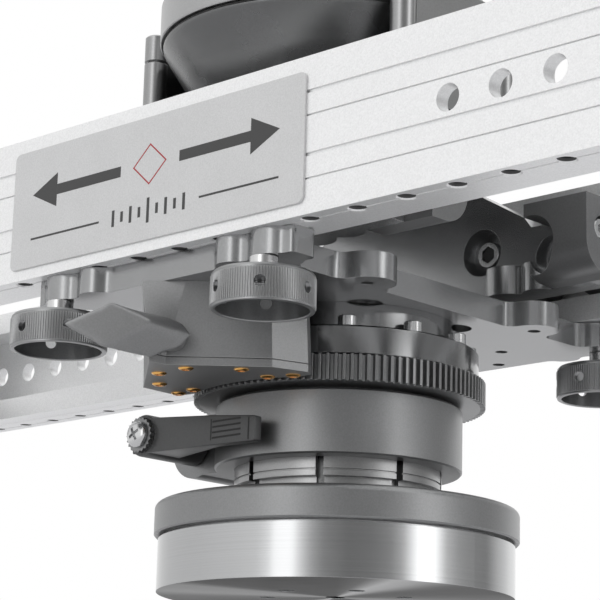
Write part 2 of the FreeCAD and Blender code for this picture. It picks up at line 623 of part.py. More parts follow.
BRAKE_FOOT = [(-16.6, -55.2), (-10.1, 7.0), (-3.2, 0.0), (45.6, 1.0), (62.0, -8.3), (63.5, -14.0),
              (-0.3, -73.8)]
BRAKE_HEAD = [(-18.0, -56.0), (-15.5, -2.0), (5.0, 1.5), (44.0, 1.0), (60.0, -9.0), (61.5, -14.0),
              (-0.3, -73.8)]


def brake_outline(plan, height):
    """An outline of (across, out) points from the lever's hub, closed at one height."""
    corners = [brake_point(across, out) for across, out in plan]
    corners = [Vector(corner.x, corner.y, height) for corner in corners]
    return Part.makePolygon(corners + corners[:1])


def brake_clearance():
    """The space that the gear ring and the turntable housing turn in."""
    return Part.makeCylinder(size("brake_clearance_radius"), 60.0,
                             Vector(0, 0, size("brake_bottom") - 10.0))


def brake_housing():
    """Cast block under the cross plate: sloping near faces, a curved back round the gear."""
    low, top = size("brake_bottom") + size("brake_cover"), size("plate_bottom")
    blank = Part.makeLoft([brake_outline(BRAKE_FOOT, low), brake_outline(BRAKE_HEAD, top)], True, True)
    front, back = brake_point(0, 20.0), brake_point(0, -size("shaft_end") - 0.5)
    shaft_bore = rod(size("shaft_radius") + 0.06, front, back)
    cam_bore = rod(size("shaft_radius") + size("cam_throw") + 0.5,
                   brake_point(0, -size("cam_start") + 1.0), brake_point(0, -size("cam_end") - 1.0))
    pocket = brake_cavity(0.25)
    bores = [brake_screw_bore(spot) for spot in BRAKE_SCREW_POINTS]
    casting = blank.cut([brake_clearance(), shaft_bore, cam_bore, pocket, brake_spot_face()] + bores)
    node(shaped("brake_housing_block", casting), "brake_housing")


def brake_cavity(play):
    """The pocket that guides the shoe, `play` larger than the shoe on its sliding sides."""
    half = (size("cam_end") - size("cam_start")) / 2 - 1.0 + play
    middle = (size("cam_end") + size("cam_start")) / 2
    low = size("brake_bottom") + size("brake_cover") + 0.4 - play
    high = size("brake_hub_z") + 6.0 + play
    corners = [brake_point(0.0, -middle - half), brake_point(30.0, -middle - half),
               brake_point(30.0, -middle + half), brake_point(0.0, -middle + half)]
    wire = Part.makePolygon([Vector(c.x, c.y, low) for c in corners + corners[:1]])
    return Part.Face(wire).extrude(Vector(0, 0, high - low))


def brake_spot_face():
    """The round seat that the lever's hub turns in."""
    return rod(size("paddle_hub_radius") + 0.6, brake_point(0, 0.4), brake_point(0, 20.0))


# Places of the cover's screws, as (across, out) from the lever's hub
BRAKE_SCREW_POINTS = [(-7.0, -19.5), (-8.2, -44.9), (6.0, -6.5), (-0.2, -66.6), (7.4, -56.7),
                      (31.5, -5.8), (43.3, -20.9), (55.2, -16.0)]
BRAKE_SCREW_RADIUS = 1.5
BRAKE_SCREW_LENGTH = 5.0


def brake_screw_bore(spot):
    at = brake_point(*spot)
    return Part.makeCylinder(BRAKE_SCREW_RADIUS + GAP, BRAKE_SCREW_LENGTH + 1.0,
                             Vector(at.x, at.y, size("brake_bottom") - 0.5))


def brake_cover():
    """Cover plate over the housing's underside."""
    slab = Part.Face(brake_outline(BRAKE_FOOT, size("brake_bottom"))).extrude(
        Vector(0, 0, size("brake_cover") - 0.3))
    bores = [brake_screw_bore(spot) for spot in BRAKE_SCREW_POINTS]
    node(shaped("brake_cover_slab", slab.cut([brake_clearance(), brake_spot_face()] + bores)),
         "brake_cover")


def brake_screws():
    """Low button heads under the cover."""
    screws, height = [], 0.9
    for spot in BRAKE_SCREW_POINTS:
        at = brake_point(*spot)
        seat = Vector(at.x, at.y, size("brake_bottom") - 0.1)
        head = Part.makeCylinder(3.6, height, seat, Z_AXIS * -1)
        shank = Part.makeCylinder(BRAKE_SCREW_RADIUS, BRAKE_SCREW_LENGTH, seat)
        socket = Part.makeCylinder(1.5, height * 0.7, seat - Z_AXIS * height)
        screws.append(head.fuse(shank).cut(socket))
    node(shaped("brake_screw_group", Part.makeCompound(screws)), "brake_screws")


def brake_lever():
    """Lozenge-shaped paddle with a blunt nose on the housing's near face, and the shaft it turns."""
    back = [(-44.0, 1.5), (-22.0, 12.0), (-1.0, 8.6), (5.5, 5.8), (9.3, 0.9), (6.5, -3.9), (-8.0, -10.8)]
    front = [(-48.6, 1.0), (-27.4, 11.8), (-14.0, 6.0), (-10.4, 4.3), (-8.8, 2.9), (-10.4, 1.0),
             (-31.0, -9.4)]
    wires = []
    for outline, out_by in ((back, size("paddle_back")), (front, size("paddle_front"))):
        corners = [brake_point(a, out_by, up) for a, up in outline]
        wires.append(Part.makePolygon(corners + corners[:1]))
    paddle = Part.makeLoft(wires, True, True)
    hub = rod(size("paddle_hub_radius"), brake_point(0, 0.8), brake_point(0, size("paddle_back") + 1.5))
    socket = rod(size("shaft_radius") + 0.05, brake_point(0, 0.0), brake_point(0, size("paddle_back")))
    node(shaped("brake_lever_paddle", paddle.fuse(hub).removeSplitter().cut(socket)), "brake_lever")

    shaft = rod(size("shaft_radius"), brake_point(0, size("paddle_back") - 0.5),
                brake_point(0, -size("shaft_end")))
    throw = size("cam_throw")
    tilt = math.radians(-120.0)
    centre = (throw * math.cos(tilt), throw * math.sin(tilt))
    cam = rod(size("shaft_radius") + 0.001, brake_point(centre[0], -size("cam_start"), centre[1]),
              brake_point(centre[0], -size("cam_end"), centre[1]))
    sleeve = rod(size("shaft_radius") + 2 * throw, brake_point(0, -size("cam_start")),
                 brake_point(0, -size("cam_end")))
    node(shaped("brake_shaft_body", shaft.cut(sleeve).fuse(cam).removeSplitter()), "brake_camshaft")


def brake_shoe():
    """Shoe that the cam pushes against the gear's teeth."""
    blank = brake_cavity(0.0)
    rear = size("shaft_radius") - size("cam_throw") / 2 + 0.15
    keep = [brake_point(rear, 0.0), brake_point(60.0, 0.0), brake_point(60.0, -120.0),
            brake_point(rear, -120.0)]
    wire = Part.makePolygon([Vector(c.x, c.y, 80.0) for c in keep + keep[:1]])
    blank = blank.common(Part.Face(wire).extrude(Vector(0, 0, 60.0)))
    gap = Part.makeCylinder(size("shoe_radius"), 80.0, Vector(0, 0, 70.0))
    node(shaped("brake_shoe_block", blank.cut(gap)), "brake_shoe")


# ------------------------------------------------------------------ carriage

def axle_stations():
    """(X from the carriage's centre, height, wheel radius) of the four axles on each side."""
    wheel, roller = size("wheel_station"), size("roller_station")
    return [(-wheel, size("wheel_level"), size("wheel_radius")),
            (wheel, size("wheel_level"), size("wheel_radius")),
            (-roller, size("roller_level"), size("roller_radius")),
            (roller, size("roller_level"), size("roller_radius"))]


# Lobes that stand out of each side plate, as (x from the carriage's centre, radius)
SIDE_LOBES = [(-85.5, 10.3), (-64.5, 12.5), (64.5, 12.5), (85.5, 10.3)]


def side_plate(label, side):
    """Arched plate that carries the wheels of one rail; `side` is -1 for near, 1 for far."""
    inner, thick = size("side_inner"), size("side_thickness")
    low, deck, half = size("side_bottom"), size("deck_bottom"), size("side_half_length")
    quarter = [(0.0, deck), (33.4, deck), (77.5, 195.7), (82.0, 190.0), (half, 190.0), (half, low)]
    outline = quarter + [(-x, z) for x, z in reversed(quarter[1:])]
    middle = size("carriage_x")
    wire = Part.makePolygon([Vector(middle + x, side * inner, z) for x, z in outline + outline[:1]])
    slab = Part.Face(wire).extrude(Vector(0, side * thick, 0))
    lobes = []
    for x, radius in SIDE_LOBES:
        lobes.append(Part.makeCylinder(radius, 14.7, Vector(middle + x, side * (inner + 5.0), low)))
    trim = block(middle - half, middle + half, side * (inner - 20.0), side * (inner + thick), low, deck)
    slab = slab.fuse([lobe.common(trim) for lobe in lobes]).removeSplitter()
    tools = []
    for x, level, _ in axle_stations():
        start = Vector(middle + x, side * (inner - 12.0), level)
        into = Vector(0, side, 0)
        wide = size("counterbore_radius") if abs(x) < 80.0 else size("counterbore_radius") - 1.6
        tools.append(rod(wide, start, start + into * (12.0 + size("counterbore_depth"))))
        tools.append(rod(size("axle_radius") + GAP, start, start + into * 60.0))
    node(shaped(label + "_slab", slab.cut(tools)), label)


def deck():
    """Top plate of the carriage, screwed onto the two side plates."""
    slab = box("deck_blank", "2 * deck_half_length", "2 * deck_half_width", "deck_thickness",
               ("carriage_x - deck_half_length", "-deck_half_width", "deck_bottom"))
    bore = cylinder("deck_bore", "bowl_bore_radius", "deck_thickness + 4",
                    ("carriage_x", "0", "deck_bottom - 2"))
    seats = []
    for x in (-size("deck_screw_station"), size("deck_screw_station")):
        for side in (-1, 1):
            spot = Vector(size("carriage_x") + x,
                          side * (size("side_inner") + size("side_thickness") / 2),
                          size("deck_bottom") + size("deck_thickness"))
            seats.append(rod(5.2, spot + Z_AXIS, spot - Z_AXIS * 5.2))
            seats.append(rod(3.1, spot, spot - Z_AXIS * 14.0))
    node(cut("deck_cut", slab, [bore, shaped("deck_seats", Part.makeCompound(seats))]), "carriage_deck")


def corner_brackets():
    """Four brackets that box in the ends of the side plates, notched round the roller axles."""
    inner, start, end = size("bracket_inner"), size("bracket_start"), size("bracket_end")
    low, top, face = size("side_bottom"), size("bracket_top"), size("side_inner") - 0.1
    brackets, screws = [], []
    for side in (-1, 1):
        for way in (-1, 1):
            middle = size("carriage_x")
            solid = block(middle + way * start, middle + way * end, side * inner, side * face, low, top)
            edge = [e for e in solid.Edges if abs(e.CenterOfMass.y - side * inner) < 0.1
                    and abs(e.CenterOfMass.z - low) < 0.1]
            solid = solid.makeFillet(size("bracket_round"), edge)
            notch_x = middle + way * (start + 4.0)
            notch = rod(size("bracket_notch"), Vector(notch_x, side * (inner - 5.0), size("roller_level")),
                        Vector(notch_x, side * (face + 5.0), size("roller_level")))
            solid = solid.cut(notch)
            seat = Vector(middle + way * end, side * (inner + 12.5), 178.0)
            inwards = Vector(-way, 0, 0)
            solid = solid.cut(rod(6.2, seat - inwards, seat + inwards * 6.0))
            solid = solid.cut(rod(3.1, seat, seat + inwards * 16.0))
            screws.append(cap_screw(5.4, 5.0, 3.0, 9.0, seat + inwards * 5.9, inwards * -1))
            brackets.append(solid)
    node(shaped("corner_bracket_group", Part.makeCompound(brackets)), "corner_brackets")
    return screws


def carriage_screws(bracket_screws):
    screws = list(bracket_screws)
    for x in (-size("deck_screw_station"), size("deck_screw_station")):
        for side in (-1, 1):
            spot = Vector(size("carriage_x") + x,
                          side * (size("side_inner") + size("side_thickness") / 2),
                          size("deck_bottom") + size("deck_thickness") - 5.1)
            screws.append(cap_screw(5.0, 4.8, 3.0, 4.5, spot, Z_AXIS))
    node(shaped("carriage_screw_group", Part.makeCompound(screws)), "carriage_screws")


def riser():
    """Two upright end panels, each between a pair of capped posts, round the bowl."""
    floor = size("deck_bottom") + size("deck_thickness") + 0.1
    middle, spread, radius = size("carriage_x"), size("post_spread"), size("post_radius")
    panels, posts, caps = [], [], []
    for way in (-1, 1):
        inner = middle + way * (size("riser_station") - size("riser_thickness") / 2)
        panels.append(block(inner, inner + way * size("riser_thickness"), radius + GAP - spread,
                            spread - radius - GAP, floor, size("riser_top")))
        for side in (-1, 1):
            foot = Vector(middle + way * size("post_station"), side * spread, floor)
            groove = Vector(foot.x, foot.y, size("post_groove"))
            posts.append(rod(radius, foot, groove).fuse(rod(radius - 2.0, groove, groove + Z_AXIS * 8.0)))
            cap = rod(radius, groove + Z_AXIS * size("post_gap"), Vector(foot.x, foot.y, size("post_top")))
            rim = [e for e in cap.Edges if e.Curve.TypeId == "Part::GeomCircle"]
            cap = cap.makeChamfer(0.8, [max(rim, key=lambda e: e.CenterOfMass.z)])
            caps.append(cap.cut(rod(radius - 2.0 + 0.05, groove, groove + Z_AXIS * 8.1)))
    node(shaped("riser_panel_group", Part.makeCompound(panels)), "riser_panels")
    node(shaped("post_group", Part.makeCompound(posts)), "riser_posts")
    node(shaped("cap_group", Part.makeCompound(caps)), "post_caps")


def seat_arc(start, end, play):
    """Points of the seat's sphere, centred in the rim's top plane, between two heights."""
    radius, centre, steps = size("bowl_seat_radius"), size("rim_top"), 8
    first = math.asin((centre - start) / radius)
    last = math.asin((centre - end) / radius)
    angles = [first + (last - first) * index / steps for index in range(steps + 1)]
    return [(radius * math.cos(a) + play, centre - radius * math.sin(a)) for a in angles]


def bowl():
    """150 mm half-bowl on the deck: spherical seat, open floor bore, sealed rim ring."""
    foot = size("deck_bottom") + size("deck_thickness")
    top, floor = size("bowl_top"), size("bowl_floor")
    edge = size("bowl_radius")
    outline = [(size("bowl_bore_radius"), foot), (size("bowl_foot_radius"), foot),
               (size("bowl_foot_radius") + 3.0, foot + 2.0), (60.0, 246.0), (70.0, 259.0), (75.2, 267.0),
               (80.2, 275.0), (edge - 0.6, top - 2.0), (edge, top - 0.5), (edge, top)]
    outline += seat_arc(top, floor, 0.0) + [(size("bowl_bore_radius"), floor)]
    node(revolved("bowl_shell", outline, "carriage_x"), "bowl")
    low, high = top, top + size("seal_height")
    for label, radius, start, end in (("bowl_seal", edge - 0.3, low, high),
                                      ("bowl_rim", size("rim_radius"), high, size("rim_top"))):
        ring = [(radius - 0.5, start), (radius, start + 0.5), (radius, end - 0.5), (radius - 0.5, end)]
        ring += seat_arc(end, start, 0.05)
        node(revolved(label + "_ring", ring, "carriage_x"), label)


def wheels():
    """Eight wheels in the rails' channels, with their axle bolts and spacers."""
    middle, width, near = size("carriage_x"), size("wheel_width"), size("wheel_inner")
    axle, play = size("axle_radius"), size("bore_play")
    bolts, spacers = [], []
    for side_name, side in (("near", -1), ("far", 1)):
        for name, (x, level, radius) in zip(("left_wheel", "right_wheel", "left_roller", "right_roller"),
                                            axle_stations()):
            inner = Vector(middle + x, side * near, level)
            outer = inner + Vector(0, side * width, 0)
            tyre = rod(radius, inner, outer)
            circles = [e for e in tyre.Edges if e.Curve.TypeId == "Part::GeomCircle"]
            tyre = tyre.makeChamfer(1.0, circles).cut(rod(axle + play, inner, outer))
            dish = rod(radius * 0.62, inner, inner + Vector(0, side * 1.5, 0))
            tyre = tyre.cut(dish.cut(rod(axle + 3.0, inner, outer)))
            node(shaped(f"{side_name}_{name}_disc", tyre), f"{side_name}_{name}")
            out = Vector(0, side, 0)
            head_seat = Vector(middle + x, side * (size("side_inner") + size("counterbore_depth") - 0.1),
                               level)
            bolt = cap_screw(size("axle_head_radius"), size("axle_head_height"), axle,
                             near + width + 1.6 - size("side_inner") - size("counterbore_depth") + 0.1,
                             head_seat, out * -1)
            washer = rod(axle + 2.4, outer + out * 0.3, outer + out * 1.7)
            bolts.append(bolt.fuse(washer))
            back = Vector(middle + x, side * (size("side_inner") + size("side_thickness") + 0.1),
                          level)
            ring = rod(9.0, back, inner - out * 0.3)
            spacers.append(ring.cut(rod(axle + GAP, back - out, inner + out)))
    node(shaped("axle_bolt_group", Part.makeCompound(bolts)), "axle_bolts")
    node(shaped("spacer_group", Part.makeCompound(spacers)), "axle_spacers")


# ------------------------------------------------------------------ build and write

def build_all():
    base_drum()
    base_screws()
    base_flange()
    collet_ring()
    clamp_collar()
    clamp_lever()
    pedestal()
    gear_ring()
    turntable_housing(bearings())
    turntable_screws()
    spindle_nut()
    cross_plate()
    rail("near_rail", -1)
    rail("far_rail", 1)
    nameplate()
    end_plates()
    clamp_knobs()
    brake_housing()
    brake_cover()
    brake_screws()
    brake_lever()
    brake_shoe()
    side_plate("near_side_plate", -1)
    side_plate("far_side_plate", 1)
    deck()
    carriage_screws(corner_brackets())
    riser()
    bowl()
    wheels()


def check_and_write():
    doc.recompute()
    for obj in doc.Objects:
        if "Invalid" in obj.State or "Error" in obj.State:
            raise RuntimeError(f"{obj.Name} failed: {obj.State}")
    for piece in NODES:
        if piece.Shape.isNull() or not piece.Shape.isValid() or not piece.Shape.Solids:
            raise RuntimeError(f"{piece.Label} has no valid solid")
    os.makedirs("parts", exist_ok=True)
    for piece in NODES:
        piece.Shape.exportStep(os.path.join("parts", piece.Label + ".step"))
        print(f"{piece.Label}: {len(piece.Shape.Solids)} solid(s), {piece.Shape.Volume / 1000:.1f} cm3")
    print(len(NODES), "nodes")


build_all()
check_and_write()
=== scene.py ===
"""Looks of the camera slider: studio, camera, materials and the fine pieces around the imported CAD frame."""

import json
import math

import bmesh
import bpy
from mathutils import Matrix, Vector

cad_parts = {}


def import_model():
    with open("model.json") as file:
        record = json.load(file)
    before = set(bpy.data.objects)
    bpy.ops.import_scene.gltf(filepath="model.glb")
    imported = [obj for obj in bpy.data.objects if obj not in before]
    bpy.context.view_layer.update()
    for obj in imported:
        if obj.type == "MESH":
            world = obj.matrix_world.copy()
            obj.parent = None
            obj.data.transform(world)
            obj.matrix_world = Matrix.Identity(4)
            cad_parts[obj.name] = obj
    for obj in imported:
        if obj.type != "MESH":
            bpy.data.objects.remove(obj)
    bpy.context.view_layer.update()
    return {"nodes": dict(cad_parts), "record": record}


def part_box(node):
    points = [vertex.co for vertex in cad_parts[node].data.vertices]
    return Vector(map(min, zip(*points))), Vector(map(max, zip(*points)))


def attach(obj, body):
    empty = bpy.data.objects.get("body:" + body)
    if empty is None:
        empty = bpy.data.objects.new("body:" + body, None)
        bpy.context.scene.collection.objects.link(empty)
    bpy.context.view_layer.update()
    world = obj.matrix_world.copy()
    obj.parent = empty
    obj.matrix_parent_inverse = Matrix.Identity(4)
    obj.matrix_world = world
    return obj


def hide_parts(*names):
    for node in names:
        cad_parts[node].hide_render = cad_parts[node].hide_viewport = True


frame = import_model()
NODES = frame["nodes"]
MM = 0.001
X_AXIS, Y_AXIS, Z_AXIS = Vector((1, 0, 0)), Vector((0, 1, 0)), Vector((0, 0, 1))
WHITE = (1.0, 1.0, 1.0, 1.0)

# ------------------------------------------------------------------ node trees


class Tree:
    """Shorthand for building a shader: each call adds one node and links what it is given."""

    def __init__(self, node_tree):
        self.tree = node_tree
        self.tree.nodes.clear()

    def add(self, kind, settings=(), **inputs):
        made = self.tree.nodes.new(kind)
        for key, value in dict(settings).items():
            setattr(made, key, value)
        for key, value in inputs.items():
            self.feed(made, key.replace("_", " "), value)
        return made

    def feed(self, made, key, value):
        """Links or sets an input by its name, or by its number where the key is i0, i1 and so on."""
        socket = made.inputs[int(key[1:]) if key[0] == "i" and key[1:].isdigit() else key]
        if isinstance(value, bpy.types.NodeSocket):
            self.tree.links.new(value, socket)
        else:
            socket.default_value = value

    def math(self, operation, first, second=0.0, third=0.0):
        made = self.add("ShaderNodeMath", {"operation": operation}, i0=first, i1=second)
        if operation == "MULTIPLY_ADD":
            self.feed(made, "i2", third)
        return made.outputs[0]

    def mix(self, share, first, second, blend="MIX"):
        """The first colour, and the second colour blended in by its share."""
        return self.add("ShaderNodeMix", {"data_type": "RGBA", "blend_type": blend},
                        i0=share, i6=first, i7=second).outputs[2]

    def vary(self, noise, swing, level):
        """A level that swings to both sides with a noise from 0 to 1."""
        return self.math("MULTIPLY_ADD", self.math("SUBTRACT", noise, 0.5), swing, level)

    def span(self, value, low, high, top=1.0):
        """0 where the value is at low, rising evenly to top where it is at high."""
        return self.add("ShaderNodeMapRange", Value=value, From_Min=low, From_Max=high, To_Max=top).outputs[0]

    def ramp(self, factor, stops):
        """A grey ramp; each stop is (position, tone)."""
        made = self.add("ShaderNodeValToRGB", Fac=factor)
        points = made.color_ramp.elements
        points[0].position, points[1].position = stops[0][0], stops[-1][0]
        for place, _ in stops[1:-1]:
            points.new(place)
        for point, (_, tone) in zip(points, stops):
            point.color = (tone, tone, tone, 1.0)
        return made.outputs[0]


def new_material(name):
    """An empty material and the tree to fill."""
    material = bpy.data.materials.new(name)
    material.use_nodes = True
    return material, Tree(material.node_tree)


def grey(tone, tint=0.0):
    """A grey with a faint cool tint."""
    return (tone * (1.0 - tint), tone, tone * (1.0 + tint), 1.0)


def painted_turned_sheen(t, place, flat):
    """Painted bow-tie sheen and shade of a face turned on a lathe: 1 on upright walls, light and dark streaks
    from the axis on faces that look down.
    """
    x, y, _ = t.add("ShaderNodeSeparateXYZ", Vector=place).outputs
    around = t.math("MULTIPLY_ADD", t.math("ARCTAN2", y, x), 1.0 / (2 * math.pi), 0.5)
    half_turn = t.math("FRACT", t.math("MULTIPLY", around, 2.0))
    sheen_streaks = t.ramp(half_turn, [(0.0, 0.12), (0.10, 0.11), (0.20, 0.22), (0.28, 0.48), (0.40, 0.42),
                                 (0.455, 0.11), (0.52, 0.07), (0.74, 0.07), (0.79, 0.20), (0.84, 0.70),
                                 (0.89, 0.60), (0.96, 0.20), (1.0, 0.12)])
    down = t.span(t.add("ShaderNodeSeparateXYZ", Vector=flat).outputs[2], -0.5, -0.9)
    return t.mix(down, WHITE, sheen_streaks)


PATCH_SIZE = MM / 0.038
GRAIN_SIZE = 0.8 * MM
TURNED_STRETCH = (3.0, 3.0, 2600.0)


def finish(name, colour, metallic=1.0, rough=0.3, grain=0.0, mottle=0.06, edge=0.35, edge_width=0.35 * MM,
           turned=False):
    """A metal, paint or rubber finish.

    grain is the height of a blasted or cast texture, edge how much lighter edges are painted (wear and
    painted highlight), and turned adds fine rings round the vertical axis and a painted sheen and shade on
    downward faces.
    """
    material, t = new_material(name)
    place = t.add("ShaderNodeTexCoord").outputs["Object"]
    flat = t.add("ShaderNodeNewGeometry").outputs["Normal"]
    broad = t.add("ShaderNodeTexNoise", Vector=place, Scale=1.0 / PATCH_SIZE, Detail=3.0,
                  Roughness=0.6).outputs[0]
    speck = t.add("ShaderNodeTexNoise", Vector=place, Scale=1.0 / GRAIN_SIZE, Detail=2.0,
                  Roughness=0.7).outputs[0]
    tone = t.vary(broad, mottle * 2.0, 1.0)
    if grain:
        tone = t.math("MULTIPLY", tone, t.vary(speck, 0.35, 1.0))
    rough_value = t.vary(broad, 0.10, rough)
    height, height_scale = speck, grain
    painted_sheen = WHITE
    if turned:
        along = t.add("ShaderNodeMapping", Vector=place, Scale=TURNED_STRETCH).outputs[0]
        lines = t.add("ShaderNodeTexNoise", Vector=along, Scale=1.0, Detail=2.0, Roughness=0.5).outputs[0]
        tone = t.math("MULTIPLY", tone, t.vary(lines, 0.16, 1.0))
        rough_value = t.vary(lines, 0.12, rough_value)
        height, height_scale = lines, 0.004 * MM
        # painted sheen and shade on faces that look down, multiplied into the base colour and used as the
        # specular tint
        painted_sheen = painted_turned_sheen(t, place, flat)
    even = t.add("ShaderNodeCombineColor", Red=tone, Green=tone, Blue=tone).outputs[0]
    shade = t.mix(1.0, t.mix(1.0, colour, even, "MULTIPLY"), painted_sheen, "MULTIPLY")
    soft = t.add("ShaderNodeBevel", {"samples": 4}, Radius=edge_width).outputs[0]
    # painted highlight and wear on edges: lighter where the bevelled normal turns away from the face's own
    # normal
    if edge:
        turn = t.add("ShaderNodeVectorMath", {"operation": "DOT_PRODUCT"}, i0=soft, i1=flat)
        edge_wear_and_highlight = t.span(turn.outputs["Value"], 0.996, 0.93, edge)
        wear_and_highlight_colour = tuple(min(1.0, c * 0.5 + 0.42) for c in colour[:3]) + (1.0,)
        shade = t.mix(edge_wear_and_highlight, shade, wear_and_highlight_colour)
    normal = soft
    if height_scale:
        normal = t.add("ShaderNodeBump", Height=height, Distance=height_scale, Strength=1.0,
                       Normal=soft).outputs[0]
    shader = t.add("ShaderNodeBsdfPrincipled", Metallic=metallic, Roughness=rough_value, Normal=normal,
                   Base_Color=shade, Specular_Tint=painted_sheen)
    t.add("ShaderNodeOutputMaterial", Surface=shader.outputs[0])
    return material


FINISHES = {
    "polished_silver": dict(colour=grey(0.46, 0.01), rough=0.13, mottle=0.03, edge=0.5, turned=True),
    "satin_grey": dict(colour=grey(0.26, 0.01), metallic=0.85, rough=0.36, grain=0.022 * MM),
    "silver_satin": dict(colour=grey(0.34, 0.005), grain=0.006 * MM, edge=0.4),
    "machined_steel": dict(colour=grey(0.62, 0.005), rough=0.22, mottle=0.05, edge=0.3),
    "dark_handle": dict(colour=grey(0.085, 0.01), metallic=0.6, rough=0.38, grain=0.004 * MM, edge=0.25),
    "black_steel": dict(colour=grey(0.25, 0.01), metallic=0.9, rough=0.32, grain=0.004 * MM, edge=0.4),
    "dark_anodised": dict(colour=grey(0.16, 0.01), metallic=0.9, rough=0.27, mottle=0.1, grain=0.003 * MM),
    "plate_grey": dict(colour=grey(0.34, 0.01), metallic=0.8, rough=0.2, mottle=0.08, grain=0.006 * MM,
                       edge=0.45),
    "silver_anodised": dict(colour=grey(0.88, 0.003), metallic=0.6, rough=0.36, mottle=0.01, grain=0.002 * MM,
                            edge=0.15),
    "badge_grey": dict(colour=grey(0.63, 0.003), metallic=0.35, rough=0.5, grain=0.003 * MM, edge=0.5,
                       edge_width=0.2 * MM),
    "knob_grey": dict(colour=grey(0.30, 0.01), metallic=0.95, rough=0.32, grain=0.006 * MM, edge=0.6,
                      edge_width=0.12 * MM),
    "stud_silver": dict(colour=grey(0.66), rough=0.2, edge=0.4),
    "blasted_grey": dict(colour=grey(0.27, 0.008), metallic=0.75, rough=0.42, grain=0.03 * MM, mottle=0.08,
                         edge=0.5, edge_width=0.5 * MM),
    "brass_screws": dict(colour=(0.86, 0.47, 0.13, 1.0), rough=0.2, edge=0.4),
    "light_grey": dict(colour=grey(0.42, 0.005), rough=0.33, grain=0.006 * MM, edge=0.4),
    "black_rubber": dict(colour=grey(0.018), metallic=0.0, rough=0.7, grain=0.02 * MM, edge=0.1),
    "wheel_polymer": dict(colour=grey(0.03), metallic=0.0, rough=0.4, grain=0.006 * MM, edge=0.1),
    # finishes that no slot of the record is named for
    "housing_gloss": dict(colour=grey(0.24, 0.01), rough=0.14, mottle=0.12, edge=0.4),
    "bracket_satin": dict(colour=grey(0.20, 0.01), metallic=0.7, rough=0.4, grain=0.006 * MM, edge=0.45),
    # dark print on the plate, also used as painted shade in the bolt sockets and the rails' underside holes
    "dark_ink_and_shade": dict(colour=grey(0.045), metallic=0.0, rough=0.5, grain=0.002 * MM, edge=0.0),
    "ink_red": dict(colour=(0.42, 0.03, 0.035, 1.0), metallic=0.0, rough=0.5, grain=0.002 * MM, edge=0.0),
    "bearing_seal": dict(colour=grey(0.05), metallic=0.2, rough=0.45, edge=0.1),
}
MATERIALS = {name: finish(name, **traits) for name, traits in FINISHES.items()}

SLOT_OF = {part["node"]: part["material_slot"] for part in frame["record"]["subparts"]}
SPECIAL_LOOKS = {"turntable_housing": "housing_gloss", "corner_brackets": "bracket_satin"}
for label, cad in NODES.items():
    cad.data.materials.clear()
    cad.data.materials.append(MATERIALS[SPECIAL_LOOKS.get(label, SLOT_OF[label])])

# ------------------------------------------------------------------ building pieces


def smooth_by_angle(mesh, degrees=32.0):
    """Smooth faces, with sharp edges where two faces meet at more than the angle."""
    built = bmesh.new()
    built.from_mesh(mesh)
    for face in built.faces:
        face.smooth = True
    for edge in built.edges:
        if len(edge.link_faces) == 2:
            edge.smooth = edge.calc_face_angle(0.0) < math.radians(degrees)
    built.to_mesh(mesh)
    built.free()


def mesh_from(name, built):
    """Ends a bmesh as a mesh."""
    mesh = bpy.data.meshes.new(name)
    built.to_mesh(mesh)
    built.free()
    return mesh


def linked(name, data):
    """A new object of the scene that shows the given mesh or camera."""
    made = bpy.data.objects.new(name, data)
    bpy.context.scene.collection.objects.link(made)
    return made


def piece(name, built, body, material_slot, nodes=(), look=None, degrees=32.0):
    """Turns a bmesh into an object that rides on a CAD body and stands for the given CAD nodes."""
    bmesh.ops.recalc_face_normals(built, faces=built.faces)
    mesh = mesh_from(name, built)
    smooth_by_angle(mesh, degrees)
    mesh.materials.append(MATERIALS[look or material_slot])
    made = linked(name, mesh)
    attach(made, body)
    if nodes:
        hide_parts(*nodes)
    return made


def pose_matrix(centre, axis):
    """Places a piece built round +Z at a point with its +Z along an axis."""
    return Matrix.Translation(centre) @ Vector(axis).to_track_quat("Z", "Y").to_matrix().to_4x4()


def skin(built, rings):
    """Quads between neighbouring rings of as many vertices each."""
    for first, second in zip(rings, rings[1:]):
        for k in range(len(first)):
            n = (k + 1) % len(first)
            built.faces.new([first[k], first[n], second[n], second[k]])


def add_lathe(built, outline, count=96, where=Matrix.Identity(4), closed=True):
    """Revolves (radius, height) points round Z; an outline may start or end on the axis."""
    rings = []
    for radius, height in outline:
        if radius < 1e-7:
            rings.append([built.verts.new(where @ Vector((0, 0, height)))])
            continue
        rings.append([built.verts.new(where @ Vector((radius * math.cos(a), radius * math.sin(a), height)))
                      for a in (2 * math.pi * k / count for k in range(count))])
    pairs = list(zip(rings, rings[1:]))
    if closed:
        pairs.append((rings[-1], rings[0]))
    for low, high in pairs:
        for k in range(count):
            n = (k + 1) % count
            corners = [low[k % len(low)], low[n % len(low)], high[n % len(high)], high[k % len(high)]]
            corners = list(dict.fromkeys(corners))
            if len(corners) > 2:
                built.faces.new(corners)


def add_prism(built, outline, low, high, where=Matrix.Identity(4)):
    """A flat outline of (x, y) points between two heights."""
    lower = [built.verts.new(where @ Vector((x, y, low))) for x, y in outline]
    upper = [built.verts.new(where @ Vector((x, y, high))) for x, y in outline]
    built.faces.new(list(reversed(lower)))
    built.faces.new(upper)
    skin(built, [lower, upper])


def keep_modified(target):
    """Replaces an object's mesh by what its modifiers make of it, in its first material."""
    bpy.context.view_layer.update()
    depsgraph = bpy.context.evaluated_depsgraph_get()
    result = bpy.data.meshes.new_from_object(target.evaluated_get(depsgraph))
    material = target.data.materials[0]
    target.modifiers.clear()
    target.data = result
    result.materials.clear()
    result.materials.append(material)


def boolean_cut(target, cutters):
    """Cuts bmesh solids out of an object and keeps the result as its mesh."""
    cutter = linked("cutter", mesh_from("cutter", cutters))
    modifier = target.modifiers.new("cut", "BOOLEAN")
    modifier.operation = "DIFFERENCE"
    modifier.solver = "EXACT"
    modifier.use_self = False
    modifier.object = cutter
    keep_modified(target)
    bpy.data.objects.remove(cutter)
    smooth_by_angle(target.data)


